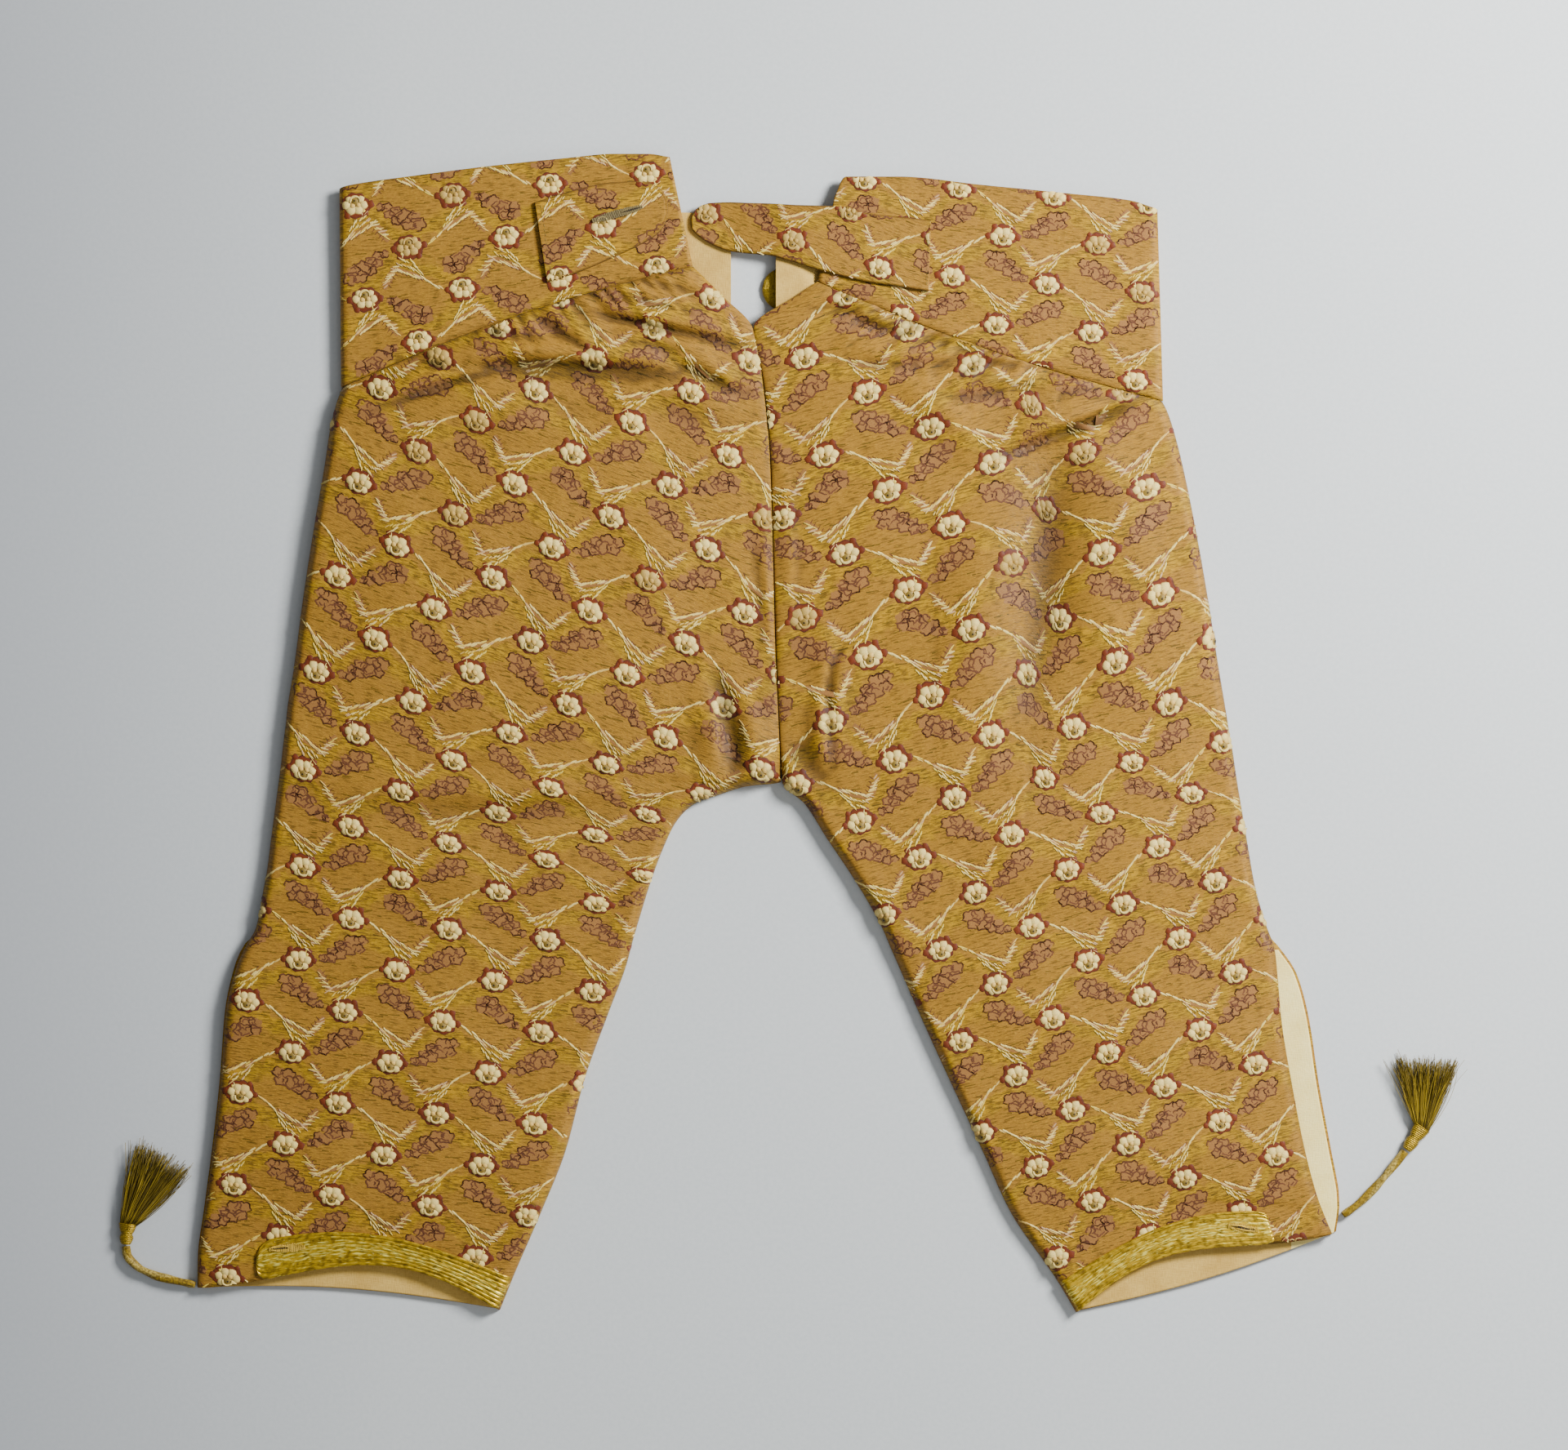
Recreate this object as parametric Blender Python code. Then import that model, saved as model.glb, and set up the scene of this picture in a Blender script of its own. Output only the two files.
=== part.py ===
"""Knee breeches of brocaded silk, laid flat with the back uppermost.

Sizes are millimetres until a mesh is made, which is in metres.
X runs to the right, Y runs up to the waist and Z comes off the surface that the garment lies on.
Each leg is a front panel, flat on the surface, and a back panel that rolls over it at the side
and at the inseam. The waistband halves each fold round the side from back to front.
"""

import math

import bmesh
import bpy
import numpy as np
from mathutils import Vector

MM = 0.001

# Move that puts the origin under the middle of the garment's own box, tassels left out
MOVE_X = 0.55
MOVE_Y = 0.45

# Cloth and seams
BACK_WALL = 1.6
FRONT_WALL = 1.2
WAIST_WALL = 2.0
LINING_WALL = 1.0
STRAP_WALL = 1.8
BRAID_WALL = 1.1
SEAM_GAP = 0.35
CENTRE_GAP = 0.2
REST_GAP = 0.3
ROLL = 5.5
FRONT_INSET = BACK_WALL + 0.5
KNEE_LINING_INSET = BACK_WALL + 2.0
KNEE_LINING_BASE = FRONT_WALL + REST_GAP

# Places of the mesh lines across a back panel, from the side seam to the inner edge
ROLL_ANGLES = (0.0, 30.0, 60.0, 90.0)
SIDE_PARTS = 6
SIDE_SHARE = 0.42
GATHERED_PARTS = 20
SQUARE_NEAR = 7.0
SQUARE_FAR = 34.0
SQUARE_ROWS = 5
FRONT_PARTS = 8

# Gathers below the waist seam, in the half of each back panel that is nearer the centre
GATHER_COUNT = 5
GATHER_RISE = 1.1
GATHER_LENGTH = 38.0

# One row for each section of a back panel, from the waist seam to the hem. The outer end is at the
# side seam, the inner end at the vent, the centre back seam or the inseam. Bow lifts the middle of
# the line towards the waist and skew shifts its peak. Height is the top of the cloth inside the
# rolls, crown is added in the middle, the feet are the heights of the two edges, reach is how far
# the front shows past the side edge and steps is the number of mesh rows to the next section.
SECTION_COLUMNS = (
    "outer_x", "outer_y", "inner_x", "inner_y", "bow", "skew",
    "height", "crown", "outer_foot", "inner_foot", "reach", "steps",
)
BACK_LEFT = (
    (-236.2, 190.1, -41.9, 257.2, 6.0, 1.0, 9.0, 0.0, 0.0, 5.2, 0.0, 5),
    (-239.4, 181.1, -25.7, 241.0, 5.0, 1.0, 10.0, 1.0, 0.0, 6.0, 0.0, 4),
    (-242.6, 167.6, -9.0, 223.0, 3.0, 1.0, 10.0, 2.0, 0.0, 8.6, 0.0, 4),
    (-245.7, 147.4, -3.6, 194.6, 0.0, 1.0, 10.0, 3.0, 0.0, 8.8, 0.0, 2),
    (-251.1, 115.9, 0.5, 151.9, 0.0, 1.0, 10.0, 3.5, 0.0, 9.0, 0.0, 2),
    (-257.4, 75.4, 2.2, 97.9, 0.0, 1.0, 10.0, 3.5, 0.0, 9.0, 0.0, 1),
    (-262.8, 34.9, 3.6, 43.9, 0.0, 1.0, 10.0, 3.0, 0.0, 9.0, 0.0, 1),
    (-266.4, 12.4, 5.4, 3.4, 0.0, 1.0, 9.5, 2.5, 0.0, 8.8, 0.0, 1),
    (-267.0, 6.0, 6.0, -11.0, 0.0, 1.0, 9.5, 2.0, 0.0, 7.8, 0.0, 1),
    (-268.2, -3.4, 6.8, -26.8, 0.0, 1.0, 9.5, 2.0, 0.0, 0.0, 0.0, 1),
    (-270.0, -19.1, -13.5, -29.9, 0.0, 1.0, 9.0, 1.5, 0.0, 0.0, 0.0, 1),
    (-271.8, -32.6, -27.9, -34.4, 0.0, 1.0, 9.0, 1.5, 0.0, 0.0, 0.0, 1),
    (-273.6, -46.1, -40.5, -38.9, 0.0, 1.0, 9.0, 1.5, 0.0, 0.0, 0.0, 1),
    (-275.4, -59.6, -50.9, -48.8, 0.0, 1.0, 9.0, 1.5, 0.0, 0.0, 0.0, 1),
    (-277.2, -74.0, -58.5, -64.1, 0.0, 1.0, 9.0, 1.5, 0.0, 0.0, 0.0, 1),
    (-279.9, -88.9, -65.2, -82.1, 0.0, 1.0, 9.0, 1.5, 0.0, 0.0, 0.0, 1),
    (-283.1, -106.9, -71.5, -102.4, 0.0, 1.0, 8.5, 1.5, 3.1, 0.0, 0.0, 1),
    (-288.9, -118.1, -75.2, -115.0, 0.0, 1.0, 8.5, 1.5, 4.4, 0.0, 1.5, 1),
    (-293.9, -129.4, -78.8, -128.5, 0.0, 1.0, 8.5, 1.5, 4.4, 0.0, 1.5, 1),
    (-299.7, -154.1, -88.7, -155.0, 0.0, 1.0, 8.5, 1.5, 4.4, 0.0, 1.0, 1),
    (-302.4, -190.1, -101.7, -191.0, 0.0, 1.0, 8.5, 1.5, 4.4, 0.0, 1.0, 1),
    (-306.9, -230.6, -112.5, -231.5, 0.0, 1.0, 8.2, 1.5, 4.4, 0.0, 1.0, 1),
    (-311.4, -264.4, -126.0, -265.3, 6.0, 1.0, 7.6, 1.0, 4.4, 0.0, 1.0, 1),
    (-314.6, -289.1, -141.3, -300.8, 19.5, 1.0, 6.6, 0.5, 4.4, 0.0, 1.0, 3),
    (-315.4, -306.2, -148.5, -318.8, 20.0, 1.4, 6.0, 0.5, 4.4, 0.0, 0.5, 1),
)
BACK_RIGHT = (
    (217.3, 182.5, 26.1, 248.6, -5.0, 1.0, 9.0, 0.0, 0.0, 8.4, 0.0, 5),
    (219.6, 178.0, 14.8, 241.0, -4.0, 1.0, 10.0, 1.0, 0.0, 8.9, 0.0, 4),
    (223.2, 167.6, -9.0, 223.0, -2.0, 1.0, 10.0, 2.0, 0.0, 8.6, 0.0, 4),
    (228.6, 146.5, -3.6, 194.6, 0.0, 1.0, 10.0, 3.0, 0.0, 8.8, 0.0, 2),
    (234.9, 115.9, 0.5, 151.9, 0.0, 1.0, 10.0, 3.5, 0.0, 9.0, 0.0, 2),
    (242.1, 75.4, 2.2, 97.9, 0.0, 1.0, 10.0, 3.5, 0.0, 9.0, 0.0, 1),
    (248.4, 34.9, 3.6, 43.9, 0.0, 1.0, 10.0, 3.0, 0.0, 9.0, 0.0, 1),
    (252.9, 7.9, 5.4, 3.4, 0.0, 1.0, 9.5, 2.5, 0.0, 8.8, 0.0, 1),
    (253.9, 1.0, 6.0, -11.0, 0.0, 1.0, 9.5, 2.0, 0.0, 7.8, 0.0, 1),
    (255.6, -7.9, 6.8, -26.8, 0.0, 1.0, 9.5, 2.0, 0.0, 0.0, 0.0, 1),
    (258.3, -25.9, 19.4, -39.4, 0.0, 1.0, 9.0, 1.5, 0.0, 0.0, 0.0, 1),
    (262.4, -50.6, 31.5, -58.3, 0.0, 1.0, 9.0, 1.5, 0.0, 0.0, 0.0, 1),
    (268.7, -86.6, 46.8, -81.2, 0.0, 1.0, 9.0, 1.5, 0.0, 0.0, 0.0, 1),
    (274.5, -106.9, 61.2, -106.0, 0.0, 1.0, 8.5, 1.5, 3.1, 0.0, 0.0, 1),
    (279.0, -120.4, 67.5, -120.4, 0.0, 1.0, 8.5, 1.5, 4.4, 0.0, 3.6, 1),
    (280.4, -133.9, 73.4, -133.9, 0.0, 1.0, 8.5, 1.5, 4.4, 0.0, 10.8, 1),
    (282.6, -158.6, 84.6, -159.5, 0.0, 1.0, 8.5, 1.5, 4.4, 0.0, 15.3, 1),
    (288.9, -196.9, 101.7, -196.9, 0.0, 1.0, 8.5, 1.5, 4.4, 0.0, 14.9, 1),
    (296.1, -232.9, 118.4, -232.9, 0.0, 1.0, 8.2, 1.5, 4.4, 0.0, 14.4, 1),
    (302.9, -257.6, 132.8, -264.4, 6.0, 1.0, 7.6, 1.0, 4.4, 0.0, 12.2, 1),
    (306.0, -265.7, 159.3, -303.5, 17.5, 1.05, 6.6, 0.5, 4.4, 0.0, 9.5, 3),
    (310.5, -276.5, 169.2, -320.2, 16.0, 1.6, 6.0, 0.5, 4.4, 0.0, 2.7, 1),
)
SLIT_LEFT = 16
SLIT_RIGHT = 13

# Inner edge of each front panel above the point where the two fronts meet under the centre back
FRONT_COLUMNS = ("outer_x", "outer_y", "inner_x", "inner_y")
FRONT_TOP_LEFT = (
    (-233.8, 190.5, -21.2, 224.8),
    (-242.6, 167.6, -15.3, 199.0),
)
FRONT_TOP_RIGHT = (
    (214.9, 182.7, 3.6, 224.8),
    (223.2, 167.6, 2.6, 199.0),
)
FRONTS_MEET = 4
CROTCH = 9
CROTCH_INSET = 0.6
FRONT_HEM_BOW_LEFT = 5.0
FRONT_HEM_BOW_RIGHT = -4.0

# Largest folds of the two back panels. Each runs through three points. Rise is its height, or the
# depth of a valley where it is negative; left and right are its widths on the two sides of the run.
FOLD_COLUMNS = ("x0", "y0", "x1", "y1", "x2", "y2", "rise", "left", "right")
FOLDS = (
    (-129.2, 232.9, -108.9, 219.4, -99.0, 211.7, 2.0, 9.0, 3.5),
    (-93.2, 232.9, -63.9, 227.5, -16.7, 217.6, 2.6, 8.0, 3.5),
    (-178.7, 205.0, -117.9, 207.2, -52.6, 202.7, 4.0, 12.0, 4.0),
    (-54.0, 210.4, -34.2, 200.5, -16.7, 192.4, 2.0, 9.0, 4.5),
    (-207.9, 186.1, -178.7, 196.0, -149.4, 204.1, 2.2, 9.0, 4.0),
    (-243.9, -27.2, -144.9, -33.5, -45.9, -26.8, 2.4, 14.0, 7.0),
    (44.1, 234.7, 59.9, 226.6, 76.5, 224.8, 1.6, 7.0, 4.0),
    (134.1, 158.6, 161.1, 169.9, 198.0, 185.2, 3.6, 14.0, 4.0),
    (156.6, 158.6, 152.1, 79.9, 144.0, -1.1, -4.5, 17.0, 17.0),
    (26.1, 66.4, 34.2, 16.9, 22.5, -23.6, 1.8, 7.0, 7.0),
    (-31.5, 30.4, -27.9, 3.4, -33.3, -19.1, 1.8, 7.0, 7.0),
    (-5.4, 14.6, -5.4, -5.6, -5.4, -19.1, 1.6, 11.0, 11.0),
)
FOLD_STEPS = 12
FOLD_LIP = 0.3

# The waistband halves. The back layer runs from the centre back to the side, the front layer from
# the side to the centre front, and the seam of each lies on a panel's top edge.
WAIST_COLUMNS = ("top_x", "top_y", "seam_x", "height")
WAIST_BACK_LEFT = (
    (-54.9, 317.5, -42.3, 6.6),
    (-67.0, 319.3, -61.2, 6.8),
    (-85.5, 319.3, -85.5, 7.0),
    (-111.2, 317.0, -113.4, 7.4),
    (-153.9, 312.5, -151.7, 7.8),
    (-198.9, 306.7, -196.7, 8.0),
    (-222.3, 303.5, -221.4, 8.0),
)
WAIST_FRONT_LEFT = (
    (-198.9, 295.9, -198.9, 0.0),
    (-153.9, 292.3, -153.9, 0.0),
    (-108.9, 289.6, -108.9, 0.0),
    (-63.9, 287.8, -63.9, 0.0),
    (-42.0, 287.0, -42.0, 0.0),
    (-21.2, 286.0, -21.2, 0.0),
)
WAIST_BACK_RIGHT = (
    (36.0, 295.9, 26.5, 7.6),
    (42.3, 306.7, 44.1, 7.6),
    (71.1, 306.7, 71.1, 7.6),
    (116.1, 302.2, 116.1, 7.8),
    (161.1, 297.7, 161.1, 8.0),
    (199.0, 293.5, 199.0, 8.0),
)
WAIST_FRONT_RIGHT = (
    (199.0, 286.0, 199.0, 0.0),
    (161.1, 286.0, 161.1, 0.0),
    (116.1, 286.0, 116.1, 0.0),
    (71.1, 286.0, 71.1, 0.0),
    (45.0, 286.0, 45.0, 0.0),
    (34.0, 286.0, 34.0, 0.0),
    (28.0, 286.0, 28.0, 0.0),
    (22.5, 286.0, 22.5, 0.0),
    (17.0, 286.0, 17.0, 0.0),
    (12.5, 286.0, 12.5, 0.0),
    (8.0, 286.0, 8.0, 0.0),
    (3.6, 286.0, 3.6, 0.0),
)
# Where each half folds at the side: middle of the fold and height of its back and front edges
SIDE_FOLD_COLUMNS = ("top_x", "back_top_y", "front_top_y", "seam_x")
SIDE_FOLD_LEFT = (-233.2, 301.5, 298.0, -232.3)
SIDE_FOLD_RIGHT = (210.2, 290.0, 286.5, 213.3)
SIDE_FOLD_RADIUS = 4.0
SIDE_FOLD_ANGLES = (0.0, 45.0, 90.0, 135.0, 180.0)
FRONT_SEAM_LEFT = ((-234.0, 190.9), (-21.2, 225.2))
FRONT_SEAM_RIGHT = ((215.1, 183.1), (3.6, 225.2))
WAIST_ROWS_LEFT = 5
WAIST_ROWS_RIGHT = 9
WAIST_LINING_STATIONS_LEFT = 3
WAIST_LINING_STATIONS_RIGHT = 7

# Button on the outer side of the right front waistband, under the cloth
BUTTON_X = 7.7
BUTTON_Y = 245.0
BUTTON_SIDES = 20
BUTTON_PROFILE_COLUMNS = ("radius", "height")
BUTTON_PROFILE = (
    (6.5, 0.1),
    (10.3, 0.6),
    (11.7, 1.6),
    (10.6, 2.5),
    (7.0, 3.0),
    (3.0, 3.2),
)
BUTTON_LIFT = 3.5
BUTTON_LIFT_INNER = 13.0
BUTTON_LIFT_OUTER = 24.0

# Long strap over the vent, from its stitched end on the right half to its round tip
TAB_COLUMNS = ("upper_x", "upper_y", "lower_x", "lower_y", "base")
STRAP = (
    (89.1, 282.4, 87.8, 243.2, 8.15),
    (72.0, 284.2, 70.2, 246.0, 8.05),
    (55.4, 286.0, 53.1, 248.6, 8.0),
    (39.6, 290.0, 39.6, 251.8, 8.0),
    (26.1, 290.5, 26.1, 255.4, 8.0),
    (14.8, 290.9, 14.8, 259.0, 7.4),
    (8.1, 291.3, 8.1, 261.0, 7.0),
    (1.4, 291.8, 1.4, 263.0, 6.2),
    (-12.2, 292.3, -12.2, 264.4, 4.9),
    (-22.1, 292.7, -22.1, 265.7, 4.2),
    (-32.4, 292.3, -31.5, 269.3, 3.9),
    (-38.2, 290.5, -36.9, 272.5, 3.8),
    (-41.9, 286.9, -41.4, 276.1, 3.8),
    (-43.2, 283.7, -43.2, 279.2, 3.8),
)
TAB = (
    (-129.2, 292.3, -122.4, 248.2, 7.9),
    (-108.9, 298.6, -107.1, 253.1, 7.75),
    (-88.7, 303.1, -83.7, 263.0, 7.45),
    (-70.7, 304.0, -68.0, 270.7, 7.2),
    (-62.6, 301.7, -60.3, 276.1, 7.15),
    (-57.6, 296.8, -56.7, 282.4, 7.1),
    (-55.8, 291.4, -55.8, 287.8, 7.1),
)
TAB_ROWS = 5

# Gold braid along the back hem: columns of the back panel that it covers
BRAID_FIRST_LEFT = 5
BRAID_FIRST_RIGHT = 5
BRAID_LAST = 2
BRAID_ROWS = 4
BRAID_END_SHARE_LEFT = 0.45
BRAID_END_SHARE_RIGHT = 0.9

# Tie cords at the outer corners of the hems, and their tassels
CORD_RADIUS = 2.4
CORD_HEIGHT = 2.6
CORD_STEP = 10.0
CORD_LEFT = (
    (-316.9, -304.9),
    (-327.2, -302.6),
    (-340.7, -299.0),
    (-349.7, -294.1),
    (-354.4, -288.4),
    (-355.2, -283.6),
)
CORD_RIGHT = (
    (316.6, -266.4),
    (325.4, -259.9),
    (336.6, -248.6),
    (344.2, -239.6),
    (351.0, -231.1),
)
# Plan points of each tassel: start of the head, end of the head, middle of the skirt's end; then
# the half width of the skirt's end
TASSEL_LEFT = ((-355.2, -282.4), (-354.0, -270.9), (-334.0, -234.0), 17.0)
TASSEL_RIGHT = ((351.7, -230.2), (360.4, -217.6), (362.5, -181.1), 18.0)
TASSEL_ACROSS = 12
TASSEL_LAYERS = 2
TASSEL_HEIGHT = 3.2
# Half width and half height of a tassel's wrapped head, from the cord to the skirt
HEAD_COLUMNS = ("along", "half_width", "half_height")
HEAD = (
    (0.0, 2.2, 2.0),
    (0.12, 3.3, 2.6),
    (0.35, 3.9, 2.8),
    (0.5, 3.1, 2.5),
    (0.65, 4.1, 2.8),
    (1.0, 5.6, 2.9),
)
# Each strand grows from a cell of the head's end, drawn in to this share of its size. Its sections
# are at shares of its length, with their half widths.
STRAND_ROOT = 0.5
STRAND_SECTIONS = ((0.0, 0.0), (0.4, 0.26), (1.0, 0.28))
STRAND_TALL = 1.6
STRAND_SPREAD_Z = 1.6
STRAND_SAG = 0.12
# How the strands differ in length: share of the length, and turns for each place across and layer
STRAND_UNEVEN = ((0.09, 2.7, 1.9), (0.05, 7.1, 1.0))

# Name: colour, roughness, metallic
FINISHES = {
    "brocade": ((0.44, 0.25, 0.045), 0.55, 0.0),
    "brocade_front": ((0.40, 0.23, 0.05), 0.6, 0.0),
    "lining": ((0.70, 0.58, 0.36), 0.8, 0.0),
    "gold_braid": ((0.42, 0.27, 0.02), 0.35, 0.6),
    "gold_thread": ((0.55, 0.36, 0.03), 0.35, 0.6),
    "cord": ((0.50, 0.44, 0.28), 0.6, 0.0),
    "tassel": ((0.16, 0.12, 0.025), 0.6, 0.0),
}


def named(columns, rows):
    """A table as one array for each named column."""
    return {name: np.array([row[k] for row in rows], float) for k, name in enumerate(columns)}


def refined(table):
    """The sections of a table with its extra mesh rows between them."""
    count = len(table["steps"])
    places = []
    for i in range(count - 1):
        steps = int(table["steps"][i])
        places += [i + j / steps for j in range(steps)]
    places.append(count - 1)
    return {name: np.interp(places, range(count), values) for name, values in table.items()}


def ends(table, side, shift=0.0):
    """Plan points of one end of every section."""
    return np.stack([table[side + "_x"] + shift, table[side + "_y"]], axis=1)


def moved_in(edge, toward, distance):
    """An edge moved square to itself by a distance, to the side where the points of toward lie."""
    along = np.gradient(edge, axis=0)
    square = np.stack([-along[:, 1], along[:, 0]], axis=1)
    square /= np.linalg.norm(square, axis=1)[:, None]
    sign = np.sign((square * (toward - edge)).sum(axis=1))
    return edge + square * (sign * distance)[:, None]


def line_across(outer, inner, bow, skew, places):
    """Points of every section at its places across, which are shares of its width."""
    points = outer[:, None] + (inner - outer)[:, None] * places[..., None]
    points[..., 1] += bow[:, None] * np.sin(math.pi * places ** skew[:, None])
    return points


def squared(points, edge, toward, amount):
    """Points of every section bent near one end, so that the section meets that edge squarely."""
    along = np.gradient(edge, axis=0)
    square = np.stack([-along[:, 1], along[:, 0]], axis=1)
    square /= np.linalg.norm(square, axis=1)[:, None]
    square *= np.sign((square * (toward - edge)).sum(axis=1))[:, None]
    away = np.linalg.norm(points - edge[:, None], axis=2)
    fade = 1 - np.clip((away - SQUARE_NEAR) / (SQUARE_FAR - SQUARE_NEAR), 0, 1)
    weight = amount[:, None] * fade * fade * (3 - 2 * fade)
    target = edge[:, None] + square[:, None] * away[..., None]
    return points + (target - points) * weight[..., None]


def places_across(outer, inner, roll):
    """Shares of each section's width: close together over the rolls and in the gathered part."""
    width = np.linalg.norm(inner - outer, axis=1)[:, None]
    start = roll * (1 - np.cos(np.radians(ROLL_ANGLES)))
    side = np.linspace(0, SIDE_SHARE, SIDE_PARTS + 1)
    gathered = np.linspace(SIDE_SHARE, 1, GATHERED_PARTS + 1)
    middle = np.concatenate([side, gathered[1:]])[1:-1]
    between = roll + (width - 2 * roll) * middle
    from_side = np.broadcast_to(start, (len(width), len(start)))
    from_inner = width - from_side[:, ::-1]
    return np.concatenate([from_side, between, from_inner], axis=1) / width


def to_edge(points, edge, feet):
    """Distance of each point to an edge, and the height of the edge at its nearest place."""
    flat = points.reshape(-1, 1, 2)
    start = edge[:-1]
    run = edge[1:] - start
    share = ((flat - start) * run).sum(axis=2) / (run * run).sum(axis=1)
    share = np.clip(share, 0, 1)
    away = np.linalg.norm(start + run * share[..., None] - flat, axis=2)
    nearest = away.argmin(axis=1)
    row = np.arange(len(flat))
    foot = feet[nearest] + (feet[nearest + 1] - feet[nearest]) * share[row, nearest]
    return away[row, nearest].reshape(points.shape[:-1]), foot.reshape(points.shape[:-1])


def rolled(distance, roll):
    """Share of the full height at a distance from an edge that rolls down to its foot."""
    return np.sqrt(1 - (1 - np.clip(distance / roll, 0, 1)) ** 2)


def fold_height(points):
    """Height that the largest folds add at plan points."""
    total = np.zeros(points.shape[:-1])
    table = named(FOLD_COLUMNS, FOLDS)
    t = np.linspace(0, 1, FOLD_STEPS + 1)
    for k in range(len(FOLDS)):
        start = np.array([table["x0"][k], table["y0"][k]])
        middle = np.array([table["x1"][k], table["y1"][k]])
        end = np.array([table["x2"][k], table["y2"][k]])
        pull = 2 * middle - (start + end) / 2
        run = np.array([(1 - s) ** 2 * start + 2 * s * (1 - s) * pull + s * s * end for s in t])
        away, along = to_edge(points, run, t)
        place = start + (end - start) * along[..., None]
        bend = (pull - (start + end) / 2)[None] * (2 * along * (1 - along))[..., None]
        offset = points - place - bend
        direction = end - start
        side = direction[0] * offset[..., 1] - direction[1] * offset[..., 0]
        width = np.where(side > 0, table["left"][k], table["right"][k])
        ratio = away / width
        shape = np.exp(-(ratio ** 2))
        if table["right"][k] < table["left"][k]:
            lip = np.exp(-(((ratio - 2.2) / 1.2) ** 2))
            shape = shape - np.where(side > 0, 0.0, FOLD_LIP * lip)
        total += table["rise"][k] * shape * np.sin(math.pi * np.clip(along, 0.04, 0.96)) ** 0.6
    return total


def gather_height(points, places, seam):
    """Height of the gathers, which fade down from the waist seam."""
    depth, _ = to_edge(points, seam, np.zeros(len(seam)))
    share = (places - SIDE_SHARE) / (1 - SIDE_SHARE)
    wave = np.sin(2 * math.pi * GATHER_COUNT * share) * np.sin(math.pi * np.clip(share, 0, 1)) ** 0.5
    fade = np.exp(-((depth / GATHER_LENGTH) ** 2))
    return np.where(share > 0, GATHER_RISE * wave * fade, 0.0)


def back_surface(table, shift, drop):
    """Grid of a back panel's cloth: its outer face, or its inner face at a drop of one wall."""
    outer = ends(table, "outer")
    inner = ends(table, "inner", shift)
    bow, skew = table["bow"], table["skew"]
    seam = line_across(outer[:1], inner[:1], bow[:1], skew[:1], np.linspace(0, 1, 40)[None])[0]
    rows = np.arange(len(outer))
    amount = np.clip(rows / SQUARE_ROWS, 0, 1) * np.clip((len(outer) - 1 - rows) / BRAID_ROWS, 0, 1)
    places = places_across(outer, inner, ROLL)
    points = line_across(outer, inner, bow, skew, places)
    points = squared(points, inner, outer, amount)
    roll = ROLL - drop
    if drop:
        inset = np.full(len(outer), drop)
        outer, inner = moved_in(outer, inner, inset), moved_in(inner, outer, inset)
        near = places_across(outer, inner, roll)
        inset_points = squared(line_across(outer, inner, bow, skew, near), inner, outer, amount)
        rolls = len(ROLL_ANGLES) - 1
        points[:, :rolls] = inset_points[:, :rolls]
        points[:, -rolls:] = inset_points[:, -rolls:]
    top = table["height"][:, None] - drop
    top = top + table["crown"][:, None] * np.sin(math.pi * places)
    top = top + fold_height(points) + gather_height(points, places, seam)
    for edge, feet in ((outer, table["outer_foot"]), (inner, table["inner_foot"])):
        away, foot = to_edge(points, edge, np.maximum(feet - drop, 0))
        top = foot + (top - foot) * rolled(away, roll)
    return np.concatenate([points, top[..., None]], axis=2)


def seam_height(table, x):
    """Height along Y of a back panel's waist seam at a place along X."""
    outer_x, inner_x = table["outer_x"][0], table["inner_x"][0]
    share = np.clip((x - outer_x) / (inner_x - outer_x), 0, 1)
    straight = table["outer_y"][0] + (table["inner_y"][0] - table["outer_y"][0]) * share
    return straight + table["bow"][0] * np.sin(math.pi * share)


def button_lift(x, y):
    """How far the button lifts the cloth that lies on it."""
    away = math.hypot(x - BUTTON_X, y - BUTTON_Y)
    share = (away - BUTTON_LIFT_INNER) / (BUTTON_LIFT_OUTER - BUTTON_LIFT_INNER)
    share = min(max(share, 0.0), 1.0)
    return BUTTON_LIFT * (1 - share * share * (3 - 2 * share))


def finish(name):
    """The material of a piece."""
    found = bpy.data.materials.get(name)
    if found:
        return found
    colour, roughness, metallic = FINISHES[name]
    made = bpy.data.materials.new(name)
    made.use_nodes = True
    shader = made.node_tree.nodes["Principled BSDF"]
    shader.inputs["Base Color"].default_value = (*colour, 1.0)
    shader.inputs["Roughness"].default_value = roughness
    shader.inputs["Metallic"].default_value = metallic
    return made


def add_mesh(name, vertices, faces, material, smooth=True):
    """One closed mesh object from points in millimetres, with its faces turned outwards."""
    mesh = bpy.data.meshes.new(name)
    move = Vector((MOVE_X, MOVE_Y, 0.0))
    mesh.from_pydata([(Vector(v) + move) * MM for v in vertices], [], faces)
    shape = bmesh.new()
    shape.from_mesh(mesh)
    bmesh.ops.triangulate(shape, faces=[f for f in shape.faces if len(f.verts) > 4])
    bmesh.ops.recalc_face_normals(shape, faces=shape.faces)
    for face in shape.faces:
        face.smooth = smooth
    shape.to_mesh(mesh)
    shape.free()
    mesh.materials.append(finish(material))
    made = bpy.data.objects.new(name, mesh)
    bpy.context.scene.collection.objects.link(made)
    return made


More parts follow.
